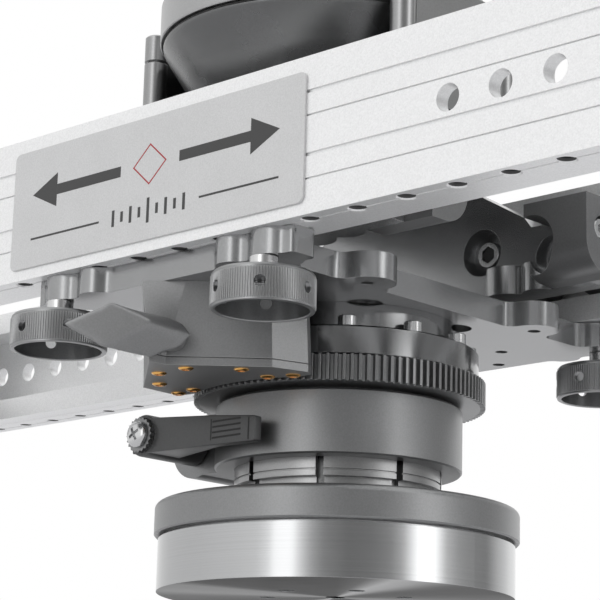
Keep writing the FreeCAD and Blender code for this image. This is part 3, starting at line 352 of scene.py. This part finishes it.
def bevelled(mesh_object, width, segments=3, degrees=25.0):
    """Rounds the object's sharp edges in its mesh."""
    built = bmesh.new()
    built.from_mesh(mesh_object.data)
    bmesh.ops.remove_doubles(built, verts=built.verts, dist=0.005 * MM)
    bmesh.ops.dissolve_limit(built, angle_limit=math.radians(1.0), verts=built.verts, edges=built.edges)
    sharp = [e for e in built.edges
             if len(e.link_faces) == 2 and e.calc_face_angle(0.0) > math.radians(degrees)]
    bmesh.ops.bevel(built, geom=sharp, offset=width, segments=segments, profile=0.5, affect="EDGES",
                    clamp_overlap=True)
    built.to_mesh(mesh_object.data)
    built.free()
    smooth_by_angle(mesh_object.data, 40.0)


def from_cad(name, node_name, body, width, segments=3, degrees=25.0):
    """A copy of a CAD node with rounded edges, which stands for it."""
    made = linked(name, NODES[node_name].data.copy())
    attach(made, body)
    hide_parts(node_name)
    bevelled(made, width, segments, degrees)
    return made


def add_socket_screw(built, where, radius, height, hex_share=0.5, dome=False):
    """A screw head standing on z = 0 with a chamfer or a dome and a hexagonal socket."""
    hexagon = radius * hex_share
    depth = height * 0.55
    count, sides = 48, 6
    if dome:
        outline = [(radius, 0.0), (radius, height * 0.25)]
        for s in (0.2, 0.4, 0.6, 0.8, 1.0):
            outline.append((radius - (radius - hexagon * 1.2) * s,
                            height * (0.25 + 0.75 * math.sin(s * math.pi / 2))))
    else:
        chamfer = min(0.35 * MM, height * 0.2)
        outline = [(radius, 0.0), (radius, height - chamfer), (radius - chamfer, height),
                   (hexagon * 1.25, height)]
    angles = [2 * math.pi * k / count for k in range(count)]
    rings = []
    for r, z in outline:
        rings.append([built.verts.new(where @ Vector((r * math.cos(a), r * math.sin(a), z))) for a in angles])
    skin(built, rings)
    built.faces.new(list(reversed(rings[0])))
    mouth, socket_floor = [], []
    for angle in angles:
        sector = (angle + math.pi / sides) % (2 * math.pi / sides) - math.pi / sides
        r = hexagon * math.cos(math.pi / sides) / math.cos(sector)
        for ring, z in ((mouth, height - 0.02 * MM), (socket_floor, height - depth)):
            ring.append(built.verts.new(where @ Vector((r * math.cos(angle), r * math.sin(angle), z))))
    skin(built, [rings[-1], mouth, socket_floor])
    built.faces.new(socket_floor)


# ------------------------------------------------------------------ clamping knobs

KNOB_RIDGES = 118
KNOB_RIDGE_DEPTH = 0.42 * MM
KNOB_HOLES = 6
KNOB_HOLE_RADIUS = 2.6 * MM


def knurled_knob(label, turn):
    """Hollow knob: ridged wall with six radial holes, rolled lips and a web round the stud."""
    low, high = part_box(label + "_knob")
    centre = Vector(((low.x + high.x) / 2, (low.y + high.y) / 2, low.z))
    radius, tall = (high.x - low.x) / 2, high.z - low.z
    wall, web, lip = 2.6 * MM, 4.0 * MM, 0.9 * MM
    stud_low, stud_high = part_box(label + "_stud")
    hub_radius = (stud_high.x - stud_low.x) / 2 - 0.9 * MM
    root, inside = radius - KNOB_RIDGE_DEPTH, radius - wall
    plain = [(root - 0.5 * MM, 0.0), (root, 0.25 * MM), (root, lip)]
    ridged = [(root, lip + 0.35 * MM), (root, tall - lip - 1.4 * MM)]
    closing = [(root, tall - lip - 1.0 * MM), (root, tall - 1.0 * MM), (root - 0.9 * MM, tall),
               (hub_radius, tall), (hub_radius, tall - web), (inside - 0.8 * MM, tall - web),
               (inside, tall - web - 0.8 * MM), (inside, 0.4 * MM), (inside + 0.3 * MM, 0.0)]
    built = bmesh.new()
    place = Matrix.Translation(centre)
    steps = KNOB_RIDGES * 4
    rings = []
    for r, z in plain + ridged + closing:
        ring = []
        for k in range(steps):
            crest = KNOB_RIDGE_DEPTH if (r, z) in ridged and k % 4 in (1, 2) else 0.0
            angle = 2 * math.pi * (k + 0.5) / steps
            corner = ((r + crest) * math.cos(angle), (r + crest) * math.sin(angle), z)
            ring.append(built.verts.new(place @ Vector(corner)))
        rings.append(ring)
    skin(built, rings + rings[:1])
    made = piece(label + "_knurled_knob", built, label + "_clamp", "knob_grey", [label + "_knob"],
                 degrees=28.0)
    cutters = bmesh.new()
    sink = wall + 0.55 * MM
    hole = [(0.0, 0.0), (KNOB_HOLE_RADIUS, 0.0), (KNOB_HOLE_RADIUS, sink),
            (KNOB_HOLE_RADIUS + 1.4 * MM, sink + 1.4 * MM), (0.0, sink + 1.4 * MM)]
    for k in range(KNOB_HOLES):
        angle = math.radians(turn + 360.0 * k / KNOB_HOLES)
        out = Vector((math.cos(angle), math.sin(angle), 0))
        start = centre + out * (inside - 1.0 * MM) + Z_AXIS * tall / 2
        add_lathe(cutters, hole, 32, pose_matrix(start, out), closed=False)
    boolean_cut(made, cutters)


# the knobs stand at different angles, in degrees
for knob, first_hole in (("near_left", -29.5), ("near_right", -49.0), ("far_left", -51.0),
                         ("far_right", -24.0)):
    knurled_knob(knob, first_hole)


# ------------------------------------------------------------------ screws

def islands_of(node_name):
    """The corners of each separate solid of a CAD node, as (lowest, highest, points)."""
    source = bmesh.new()
    source.from_mesh(NODES[node_name].data)
    bmesh.ops.remove_doubles(source, verts=source.verts, dist=0.002 * MM)
    seen = set()
    found = []
    for seed in source.verts:
        if seed in seen:
            continue
        seen.add(seed)
        island, front = [], [seed]
        while front:
            vert = front.pop()
            island.append(vert.co.copy())
            for edge in vert.link_edges:
                other = edge.other_vert(vert)
                if other not in seen:
                    seen.add(other)
                    front.append(other)
        low = Vector([min(p[i] for p in island) for i in range(3)])
        high = Vector([max(p[i] for p in island) for i in range(3)])
        found.append((low, high, island))
    source.free()
    return found


def screw_set(name, node_name, body, way_of, head_radius, head_height, shank_radius, dome=False, washer=0.0,
              hex_share=0.5, painted_socket_shade=False):
    """Socket screws in place of a CAD group; way_of gives the way each head faces from its middle."""
    built, socket_shade_fill = bmesh.new(), bmesh.new()
    hexagon = [(head_radius * hex_share * 0.99 * math.cos(a), head_radius * hex_share * 0.99 * math.sin(a))
               for a in (math.pi * k / 3 for k in range(6))]
    chamfer, washer_thick = 0.4 * MM, 1.3 * MM
    for low, high, points in islands_of(node_name):
        middle = (low + high) / 2
        way = way_of(middle)
        reach = max((p - middle).dot(way) for p in points)
        back = min((p - middle).dot(way) for p in points)
        where = pose_matrix(middle + way * (reach - head_height), way)
        add_socket_screw(built, where, head_radius, head_height, hex_share, dome)
        end = back + head_height - reach
        shank = [(0.0, end), (shank_radius - chamfer, end), (shank_radius, end + chamfer),
                 (shank_radius, 0.0), (0.0, 0.0)]
        add_lathe(built, shank, 32, where, closed=False)
        if washer:
            start = end + 0.1 * MM
            add_lathe(built, [(shank_radius, start), (washer, start), (washer, start + washer_thick),
                              (shank_radius, start + washer_thick)], 48, where)
        # a dark hexagon in each socket: painted shade of the recess
        if painted_socket_shade:
            add_prism(socket_shade_fill, hexagon, head_height * 0.35, head_height * 0.72, where)
    if painted_socket_shade:
        piece(name + "_recesses", socket_shade_fill, body, SLOT_OF[node_name], look="dark_ink_and_shade")
    piece(name, built, body, SLOT_OF[node_name], [node_name])


bowl_low, bowl_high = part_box("bowl")
carriage_x = (bowl_low.x + bowl_high.x) / 2
deck_screw_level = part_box("near_side_plate")[1].z - 12.0 * MM


def carriage_screw_way(middle):
    """Deck screws face up, bracket screws face out of the carriage's ends."""
    if middle.z > deck_screw_level:
        return Z_AXIS
    return X_AXIS if middle.x > carriage_x else -X_AXIS


screw_set("housing_cap_screws", "turntable_screws", "slider_frame", lambda middle: Z_AXIS,
          head_radius=4.4 * MM, head_height=5.0 * MM, shank_radius=2.5 * MM)
screw_set("brass_button_screws", "brake_screws", "slider_frame", lambda middle: -Z_AXIS,
          head_radius=3.6 * MM, head_height=1.0 * MM, shank_radius=1.5 * MM, dome=True)
screw_set("end_cap_screws", "end_screws", "slider_frame", lambda middle: X_AXIS if middle.x > 0 else -X_AXIS,
          head_radius=4.4 * MM, head_height=3.6 * MM, shank_radius=2.5 * MM)
screw_set("carriage_cap_screws", "carriage_screws", "carriage", carriage_screw_way,
          head_radius=5.0 * MM, head_height=4.8 * MM, shank_radius=3.0 * MM)
screw_set("axle_socket_bolts", "axle_bolts", "carriage",
          lambda middle: -Y_AXIS if middle.y > 0 else Y_AXIS,
          head_radius=6.9 * MM, head_height=4.0 * MM, shank_radius=5.0 * MM, washer=7.4 * MM, hex_share=0.66,
          painted_socket_shade=True)


# ------------------------------------------------------------------ clamp lever

def clamp_handle():
    """Tapered arm with a round hub, and dark bars on its grip as painted shade of grooves."""
    low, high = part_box("clamp_handle")
    screw_low, screw_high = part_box("handle_screw")
    axis_x, level = (screw_low.x + screw_high.x) / 2, (screw_low.z + screw_high.z) / 2
    hub_radius = level - low.z
    front, tip = low.y, high.x
    # x, then the arm's depth and the heights of its top and bottom over the screw's level
    stations = [(axis_x - 7.0 * MM, 22.5 * MM, 8.6 * MM, -8.6 * MM),
                (axis_x, 22.5 * MM, 8.7 * MM, -8.8 * MM),
                (axis_x + 12.0 * MM, 18.0 * MM, 7.8 * MM, -9.1 * MM),
                (-16.0 * MM, 6.0 * MM, 4.9 * MM, -9.6 * MM),
                (tip - 1.0 * MM, 5.0 * MM, 1.8 * MM, -10.3 * MM),
                (tip, 4.4 * MM, 1.4 * MM, -9.9 * MM)]
    built = bmesh.new()
    rings = []
    for x, depth, top, bottom in stations:
        corners = [(front, bottom), (front + depth, bottom), (front + depth, top), (front, top)]
        rings.append([built.verts.new((x, y, level + z)) for y, z in corners])
    skin(built, rings)
    built.faces.new(list(reversed(rings[0])))
    built.faces.new(rings[-1])
    bmesh.ops.recalc_face_normals(built, faces=built.faces)
    long_edges = [e for e in built.edges if e.calc_face_angle(0.0) > math.radians(20)]
    bmesh.ops.bevel(built, geom=long_edges, offset=1.1 * MM, segments=4, profile=0.5, affect="EDGES",
                    clamp_overlap=True)
    rounding, depth = 1.2 * MM, high.y - front
    hub = [(0.0, 0.0), (hub_radius - rounding, 0.0), (hub_radius - rounding * 0.3, rounding * 0.3),
           (hub_radius, rounding), (hub_radius, depth - rounding), (hub_radius - rounding, depth),
           (0.0, depth)]
    start = Vector((axis_x, front - 0.05 * MM, level))
    add_lathe(built, hub, 64, pose_matrix(start, Y_AXIS), closed=False)
    piece("clamp_lever_handle", built, "clamp_lever", "dark_handle", ["clamp_handle"])
    groove_shade_bars(front, tip, level)


def groove_shade_bars(front, tip, level):
    """Dark bars set in the grip and across the arm near its tip: painted shade of grooves."""
    bars = [(-15.0 * MM, 4.2 * MM, z * MM, (z + 1.0) * MM) for z in (-6.8, -4.2, -1.6, 1.0)]
    bars += [(-16.2 * MM, -15.4 * MM, -7.4 * MM, 3.0 * MM),
             (tip - 4.6 * MM, tip - 3.6 * MM, -9.4 * MM, 1.2 * MM)]
    built = bmesh.new()
    turned = Matrix.Translation(Vector((0, front, 0))) @ Matrix.Rotation(math.radians(90), 4, "X")
    for x_low, x_high, z_low, z_high in bars:
        outline = [(x_low, level + z_low), (x_high, level + z_low), (x_high, level + z_high),
                   (x_low, level + z_high)]
        add_prism(built, outline, -0.6 * MM, 0.08 * MM, turned)
    piece("clamp_lever_groove_shade", built, "clamp_lever", "black_rubber")


def handle_screw():
    """Domed pan head with a cross recess."""
    low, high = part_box("handle_screw")
    centre = Vector(((low.x + high.x) / 2, high.y, (low.z + high.z) / 2))
    radius, length = (high.x - low.x) / 2, high.y - low.y
    seat = length - 3.6 * MM
    where = pose_matrix(centre, -Y_AXIS)
    outline = [(0.0, 0.0), (3.2 * MM, 0.0), (3.2 * MM, seat), (radius - 0.3 * MM, seat),
               (radius, seat + 0.4 * MM), (radius, seat + 1.5 * MM)]
    outline += [(radius * math.cos(a), seat + 1.5 * MM + 2.1 * MM * math.sin(a))
                for a in (math.radians(d) for d in (15, 30, 45, 60, 75))]
    outline.append((0.0, length))
    built = bmesh.new()
    add_lathe(built, outline, 72, where, closed=False)
    made = piece("lever_cross_head_screw", built, "clamp_lever", "machined_steel", ["handle_screw"])
    arm, width = 3.5 * MM, 0.75 * MM
    cross = []
    for k in range(4):
        turn = math.radians(28.0) + k * math.pi / 2
        for along, across in ((width, -width), (arm, -width), (arm, width)):
            cross.append((along * math.cos(turn) - across * math.sin(turn),
                          along * math.sin(turn) + across * math.cos(turn)))
    cutters = bmesh.new()
    add_prism(cutters, cross, length - 1.8 * MM, length + 1.0 * MM, where)
    bmesh.ops.recalc_face_normals(cutters, faces=cutters.faces)
    boolean_cut(made, cutters)


clamp_handle()
handle_screw()


# ------------------------------------------------------------------ swivel brake

def soften(made, voxel, passes):
    """Remeshes a piece finely and relaxes it, which rounds its ridges like a casting's."""
    remesh = made.modifiers.new("remesh", "REMESH")
    remesh.mode, remesh.voxel_size = "VOXEL", voxel
    relax = made.modifiers.new("relax", "CORRECTIVE_SMOOTH")
    relax.iterations, relax.use_only_smooth, relax.use_pin_boundary = passes, True, True
    keep_modified(made)
    smooth_by_angle(made.data, 70.0)


paddle = from_cad("brake_paddle", "brake_lever", "brake_handle", width=1.8 * MM, segments=4, degrees=18.0)
soften(paddle, voxel=0.8 * MM, passes=9)


# ------------------------------------------------------------------ painted shade in the rails' underside holes

def under_hole_shade_sleeves(rail, outer_side):
    """Dark sleeves inside the tapped holes along a rail's underside, painted shade of the holes, except at
    the clamps' studs.
    """
    low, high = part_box(rail)
    edge_distance, pitch, stud_index = 7.0 * MM, 27.46 * MM, 2
    line = low.y + edge_distance if outer_side < 0 else high.y - edge_distance
    mouth, hole = 4.6 * MM, 3.1 * MM
    start, cone_end, top = 0.65 * MM, mouth - hole, 4.0 * MM
    outer, inner = hole - 0.06 * MM, hole - 0.3 * MM
    outline = [(mouth - start - 0.05 * MM, start), (outer, cone_end), (outer, top), (inner, top),
               (inner, cone_end + 0.1 * MM), (mouth - start - 0.35 * MM, start)]
    built = bmesh.new()
    for index in (k for k in range(16) if k != stud_index):
        for end in (-1, 1):
            place = Vector((end * (index + 0.5) * pitch, line, low.z))
            add_lathe(built, outline, 32, Matrix.Translation(place))
    piece(rail + "_hole_shade", built, "slider_frame", "machined_steel", look="dark_ink_and_shade")


under_hole_shade_sleeves("near_rail", -1)
under_hole_shade_sleeves("far_rail", 1)


# ------------------------------------------------------------------ nameplate

def rounded_rectangle(half_length, half_height, radius, steps=6):
    """(x, z) points round a rectangle with round corners, whose middle is the origin."""
    points = []
    for sx, sz, start in ((1, 1, 0), (-1, 1, 90), (-1, -1, 180), (1, -1, 270)):
        for k in range(steps + 1):
            angle = math.radians(start + 90.0 * k / steps)
            points.append((sx * (half_length - radius) + radius * math.cos(angle),
                           sz * (half_height - radius) + radius * math.sin(angle)))
    return points


def bar(x_low, x_high, z_low, z_high):
    """The corners of an upright bar."""
    return [(x_low, z_low), (x_high, z_low), (x_high, z_high), (x_low, z_high)]


def print_marks(name, shapes, ink, where):
    """Thin prisms on the plate's face; the shapes are in millimetres from its middle."""
    marks = bmesh.new()
    for outline in shapes:
        add_prism(marks, [(x * MM, z * MM) for x, z in outline], -0.2 * MM, 0.0, where)
    bmesh.ops.recalc_face_normals(marks, faces=marks.faces)
    piece(name, marks, "slider_frame", "badge_grey", look=ink)


def nameplate():
    """Bevelled plate with a plain printed motif: a two-way arrow, a red diamond and a row of ticks."""
    low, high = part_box("nameplate")
    middle = (low + high) / 2
    face = Matrix.Translation(Vector((middle.x, low.y, middle.z))) @ Matrix.Rotation(math.radians(90), 4, "X")
    half_length, half_height, corner = (high.x - low.x) / 2, (high.z - low.z) / 2, 3.5 * MM
    bevel, slope = 0.3 * MM, 0.35 * MM
    built = bmesh.new()
    full = rounded_rectangle(half_length, half_height, corner)
    inner = rounded_rectangle(half_length - bevel, half_height - bevel, corner - bevel)
    rings = [[built.verts.new(face @ Vector((x, z, depth))) for x, z in outline]
             for outline, depth in ((full, low.y - high.y), (full, -slope), (inner, -0.05 * MM))]
    skin(built, rings)
    built.faces.new(list(reversed(rings[0])))
    built.faces.new(rings[-1])
    piece("name_plate", built, "slider_frame", "badge_grey", ["nameplate"])

    # the motif, in millimetres from the plate's middle
    arrow_level, shaft_half, head_half = 6.5, 2.6, 8.5
    shaft_start, head_start, arrow_tip = 20.0, 66.0, 84.0
    tick_level, tick_pitch, tick_half, line_start, line_half = -15.7, 6.0, 0.9, 34.0, 0.5
    dark = []
    for way in (-1, 1):
        shaft = bar(shaft_start, head_start, arrow_level - shaft_half, arrow_level + shaft_half)
        head = [(head_start, arrow_level - head_half), (arrow_tip, arrow_level),
                (head_start, arrow_level + head_half)]
        dark += [[(way * x, z) for x, z in shaft], [(way * x, z) for x, z in head]]
        line = sorted((way * line_start, way * arrow_tip))
        dark.append(bar(*line, tick_level - line_half, tick_level + line_half))
    for k in range(-4, 5):
        reach = 6.0 if k == 0 else 4.0 if k % 2 == 0 else 2.5
        x = k * tick_pitch
        dark.append(bar(x - tick_half, x + tick_half, tick_level - reach, tick_level + reach))
    print_marks("plate_dark_marks", dark, "dark_ink_and_shade", face)
    thin, size, widen = 0.9, 10.0, 1.15
    red = []
    for k in range(4):
        a, b = math.radians(90 * k), math.radians(90 * (k + 1))
        red.append([(r * math.cos(t) * widen, arrow_level + r * math.sin(t))
                    for r, t in ((size, a), (size, b), (size - thin, b), (size - thin, a))])
    print_marks("plate_red_marks", red, "ink_red", face)


nameplate()


# ------------------------------------------------------------------ bowl and wheels

def smooth_curve(points, steps=6):
    """Catmull-Rom points through a short outline."""
    run = [points[0]] + points + [points[-1]]
    made = []
    for a, b, c, d in zip(run, run[1:], run[2:], run[3:]):
        for k in range(steps):
            t = k / steps
            made.append(tuple(0.5 * (2 * b[i] + (c[i] - a[i]) * t
                                     + (2 * a[i] - 5 * b[i] + 4 * c[i] - d[i]) * t * t
                                     + (3 * b[i] - a[i] - 3 * c[i] + d[i]) * t ** 3) for i in range(2)))
    return made + [points[-1]]


def bowl():
    """Spun half-bowl: smooth flank outside, spherical seat inside, bore in its floor."""
    low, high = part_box("bowl")
    rim_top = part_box("bowl_rim")[1].z
    edge = (high.x - low.x) / 2
    # the seat's radius, the height of its flat floor over the base and the bore's radius
    seat, seat_floor, bore = 75.0 * MM, 243.0 * MM, 20.0 * MM
    flank = smooth_curve([(50.0 * MM, low.z + 2.0 * MM), (60.0 * MM, low.z + 15.0 * MM),
                          (70.0 * MM, low.z + 28.0 * MM), (75.2 * MM, low.z + 36.0 * MM),
                          (80.2 * MM, low.z + 44.0 * MM), (edge - 0.6 * MM, high.z - 2.0 * MM)])
    outline = [(bore, low.z), (46.2 * MM, low.z), (47.0 * MM, low.z + 0.5 * MM)] + flank
    outline += [(edge - 0.1 * MM, high.z - 0.9 * MM), (edge, high.z - 0.3 * MM), (edge, high.z)]
    start, end = math.asin((rim_top - high.z) / seat), math.asin((rim_top - seat_floor) / seat)
    for k in range(33):
        angle = start + (end - start) * k / 32
        outline.append((seat * math.cos(angle), rim_top - seat * math.sin(angle)))
    outline += [(bore + 1.0 * MM, seat_floor), (bore, seat_floor - 1.0 * MM)]
    built = bmesh.new()
    add_lathe(built, outline, 160, Matrix.Translation(Vector((carriage_x, 0, 0))))
    piece("spun_bowl", built, "carriage", "dark_anodised", ["bowl"])


bowl()


def wheel(label):
    """Moulded tyre with a crowned tread on a steel bearing with dark seals."""
    low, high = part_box(label)
    radius, half = (high.x - low.x) / 2, (high.y - low.y) / 2
    bearing, bore = max(radius * 0.55, 9.0 * MM), 5.06 * MM
    where = pose_matrix((low + high) / 2, Y_AXIS)
    body = label + "_body"
    upper = [(radius, half * 0.4), (radius - 0.35 * MM, half - 1.5 * MM),
             (radius - 0.7 * MM, half - 0.4 * MM), (radius - 1.6 * MM, half), (bearing + 0.8 * MM, half),
             (bearing, half - 1.6 * MM)]
    outline = [(r, -z) for r, z in reversed(upper)] + upper
    built = bmesh.new()
    add_lathe(built, outline, 96, where)
    piece(label + "_tyre", built, body, "wheel_polymer", [label])
    face, seal_face = half - 1.8 * MM, half - 2.3 * MM
    inner, outer = bore + 2.2 * MM, bearing - 2.0 * MM
    built = bmesh.new()
    rim = bearing - 0.05 * MM
    add_lathe(built, [(outer, -face), (rim, -face), (rim, face), (outer, face)], 72, where)
    add_lathe(built, [(bore, -half), (inner, -half), (inner, half), (bore, half)], 72, where)
    piece(label + "_bearing_rings", built, body, "machined_steel")
    inner, outer = inner + 0.05 * MM, outer - 0.05 * MM
    built = bmesh.new()
    add_lathe(built, [(inner, -seal_face), (outer, -seal_face), (outer, seal_face), (inner, seal_face)],
              72, where)
    piece(label + "_bearing_seal", built, body, "wheel_polymer", look="bearing_seal")


for side in ("near", "far"):
    for place in ("left_wheel", "right_wheel", "left_roller", "right_roller"):
        wheel(f"{side}_{place}")


# ------------------------------------------------------------------ studio

CAMERA_PLACE = Vector((0.7320, -0.7879, -0.1119))
CAMERA_YAW, CAMERA_PITCH, CAMERA_ROLL = (math.radians(a) for a in (44.01, 13.58, 1.55))


def camera():
    """The camera stands in front of the right-hand end and looks slightly up along the slider."""
    data = bpy.data.cameras.new("camera")
    data.sensor_width = 36.0
    data.lens = 132.64
    data.clip_start, data.clip_end = 0.05, 200.0
    forward = Vector((-math.sin(CAMERA_YAW) * math.cos(CAMERA_PITCH),
                      math.cos(CAMERA_YAW) * math.cos(CAMERA_PITCH), math.sin(CAMERA_PITCH)))
    level_right = forward.cross(Z_AXIS).normalized()
    level_up = level_right.cross(forward)
    right = level_right * math.cos(CAMERA_ROLL) + level_up * math.sin(CAMERA_ROLL)
    up = level_up * math.cos(CAMERA_ROLL) - level_right * math.sin(CAMERA_ROLL)
    made = linked("camera", data)
    turn = Matrix((right, up, -forward)).transposed().to_4x4()
    made.matrix_world = Matrix.Translation(CAMERA_PLACE) @ turn
    bpy.context.scene.camera = made


# brightness of the ring of softboxes by azimuth in degrees, seen from above, 0 along +X
SOFTBOX_RING = [(-180, 0.88), (-141, 0.90), (-116, 1.00), (-98, 1.10), (-90, 1.45), (-86, 2.1), (-75, 2.2),
                (-70, 1.35), (-63, 0.70), (-55, 0.40), (-40, 0.27), (-25, 0.31), (-13, 0.43), (-5, 0.75),
                (-1, 1.3), (7, 2.6), (16, 2.6), (21, 1.7), (26, 0.92), (36, 0.58), (51, 0.42), (63, 0.36),
                (78, 0.80), (98, 1.15), (130, 1.0), (180, 0.88)]
CEILING, GROUND = 1.25, 0.22


def world():
    """White surroundings to the eye; to surfaces, a ring of softboxes and grey gaps with a bright ceiling."""
    made = bpy.data.worlds.new("studio")
    made.use_nodes = True
    t = Tree(made.node_tree)
    direction = t.add("ShaderNodeTexCoord").outputs["Generated"]
    x, y, z = t.add("ShaderNodeSeparateXYZ", Vector=direction).outputs
    around = t.math("MULTIPLY_ADD", t.math("ARCTAN2", y, x), 1.0 / (2 * math.pi), 0.5)
    brightest = max(level for _, level in SOFTBOX_RING)
    band = t.ramp(around, [((azimuth + 180.0) / 360.0, level / brightest) for azimuth, level in SOFTBOX_RING])
    upward, downward = t.span(z, 0.45, 0.8), t.span(z, -0.02, -0.30)
    level = t.math("MULTIPLY", band, brightest)
    level = t.math("MULTIPLY_ADD", t.math("SUBTRACT", CEILING, level), upward, level)
    level = t.math("MULTIPLY_ADD", t.math("SUBTRACT", GROUND, level), downward, level)
    seen = t.add("ShaderNodeLightPath").outputs["Is Camera Ray"]
    level = t.math("MULTIPLY_ADD", t.math("SUBTRACT", 1.0, level), seen, level)
    background = t.add("ShaderNodeBackground", Color=WHITE, Strength=level)
    t.add("ShaderNodeOutputWorld", Surface=background.outputs[0])
    bpy.context.scene.world = made


FLOOR_LEVEL, FLOOR_RADIUS = -1.0, 60.0
FADE_START, FADE_END = 4.0, 22.0


def floor():
    """Pale floor far below, as the slider stands high on a support; it fades to white in the distance."""
    built = bmesh.new()
    bmesh.ops.create_circle(built, cap_ends=True, cap_tris=False, segments=96, radius=FLOOR_RADIUS,
                            matrix=Matrix.Translation(Vector((0, 0, FLOOR_LEVEL))))
    made = linked("floor", mesh_from("floor", built))
    material, t = new_material("floor_pale")
    place = t.add("ShaderNodeTexCoord").outputs["Object"]
    distance = t.add("ShaderNodeVectorMath", {"operation": "LENGTH"}, i0=place).outputs["Value"]
    pale = t.add("ShaderNodeBsdfDiffuse", Color=(0.62, 0.62, 0.63, 1.0)).outputs[0]
    glow = t.add("ShaderNodeEmission", Strength=1.0).outputs[0]
    blend = t.add("ShaderNodeMixShader", i0=t.span(distance, FADE_START, FADE_END), i1=pale, i2=glow)
    t.add("ShaderNodeOutputMaterial", Surface=blend.outputs[0])
    made.data.materials.append(material)


camera()
world()
floor()
bpy.context.scene.view_settings.view_transform = "Standard"
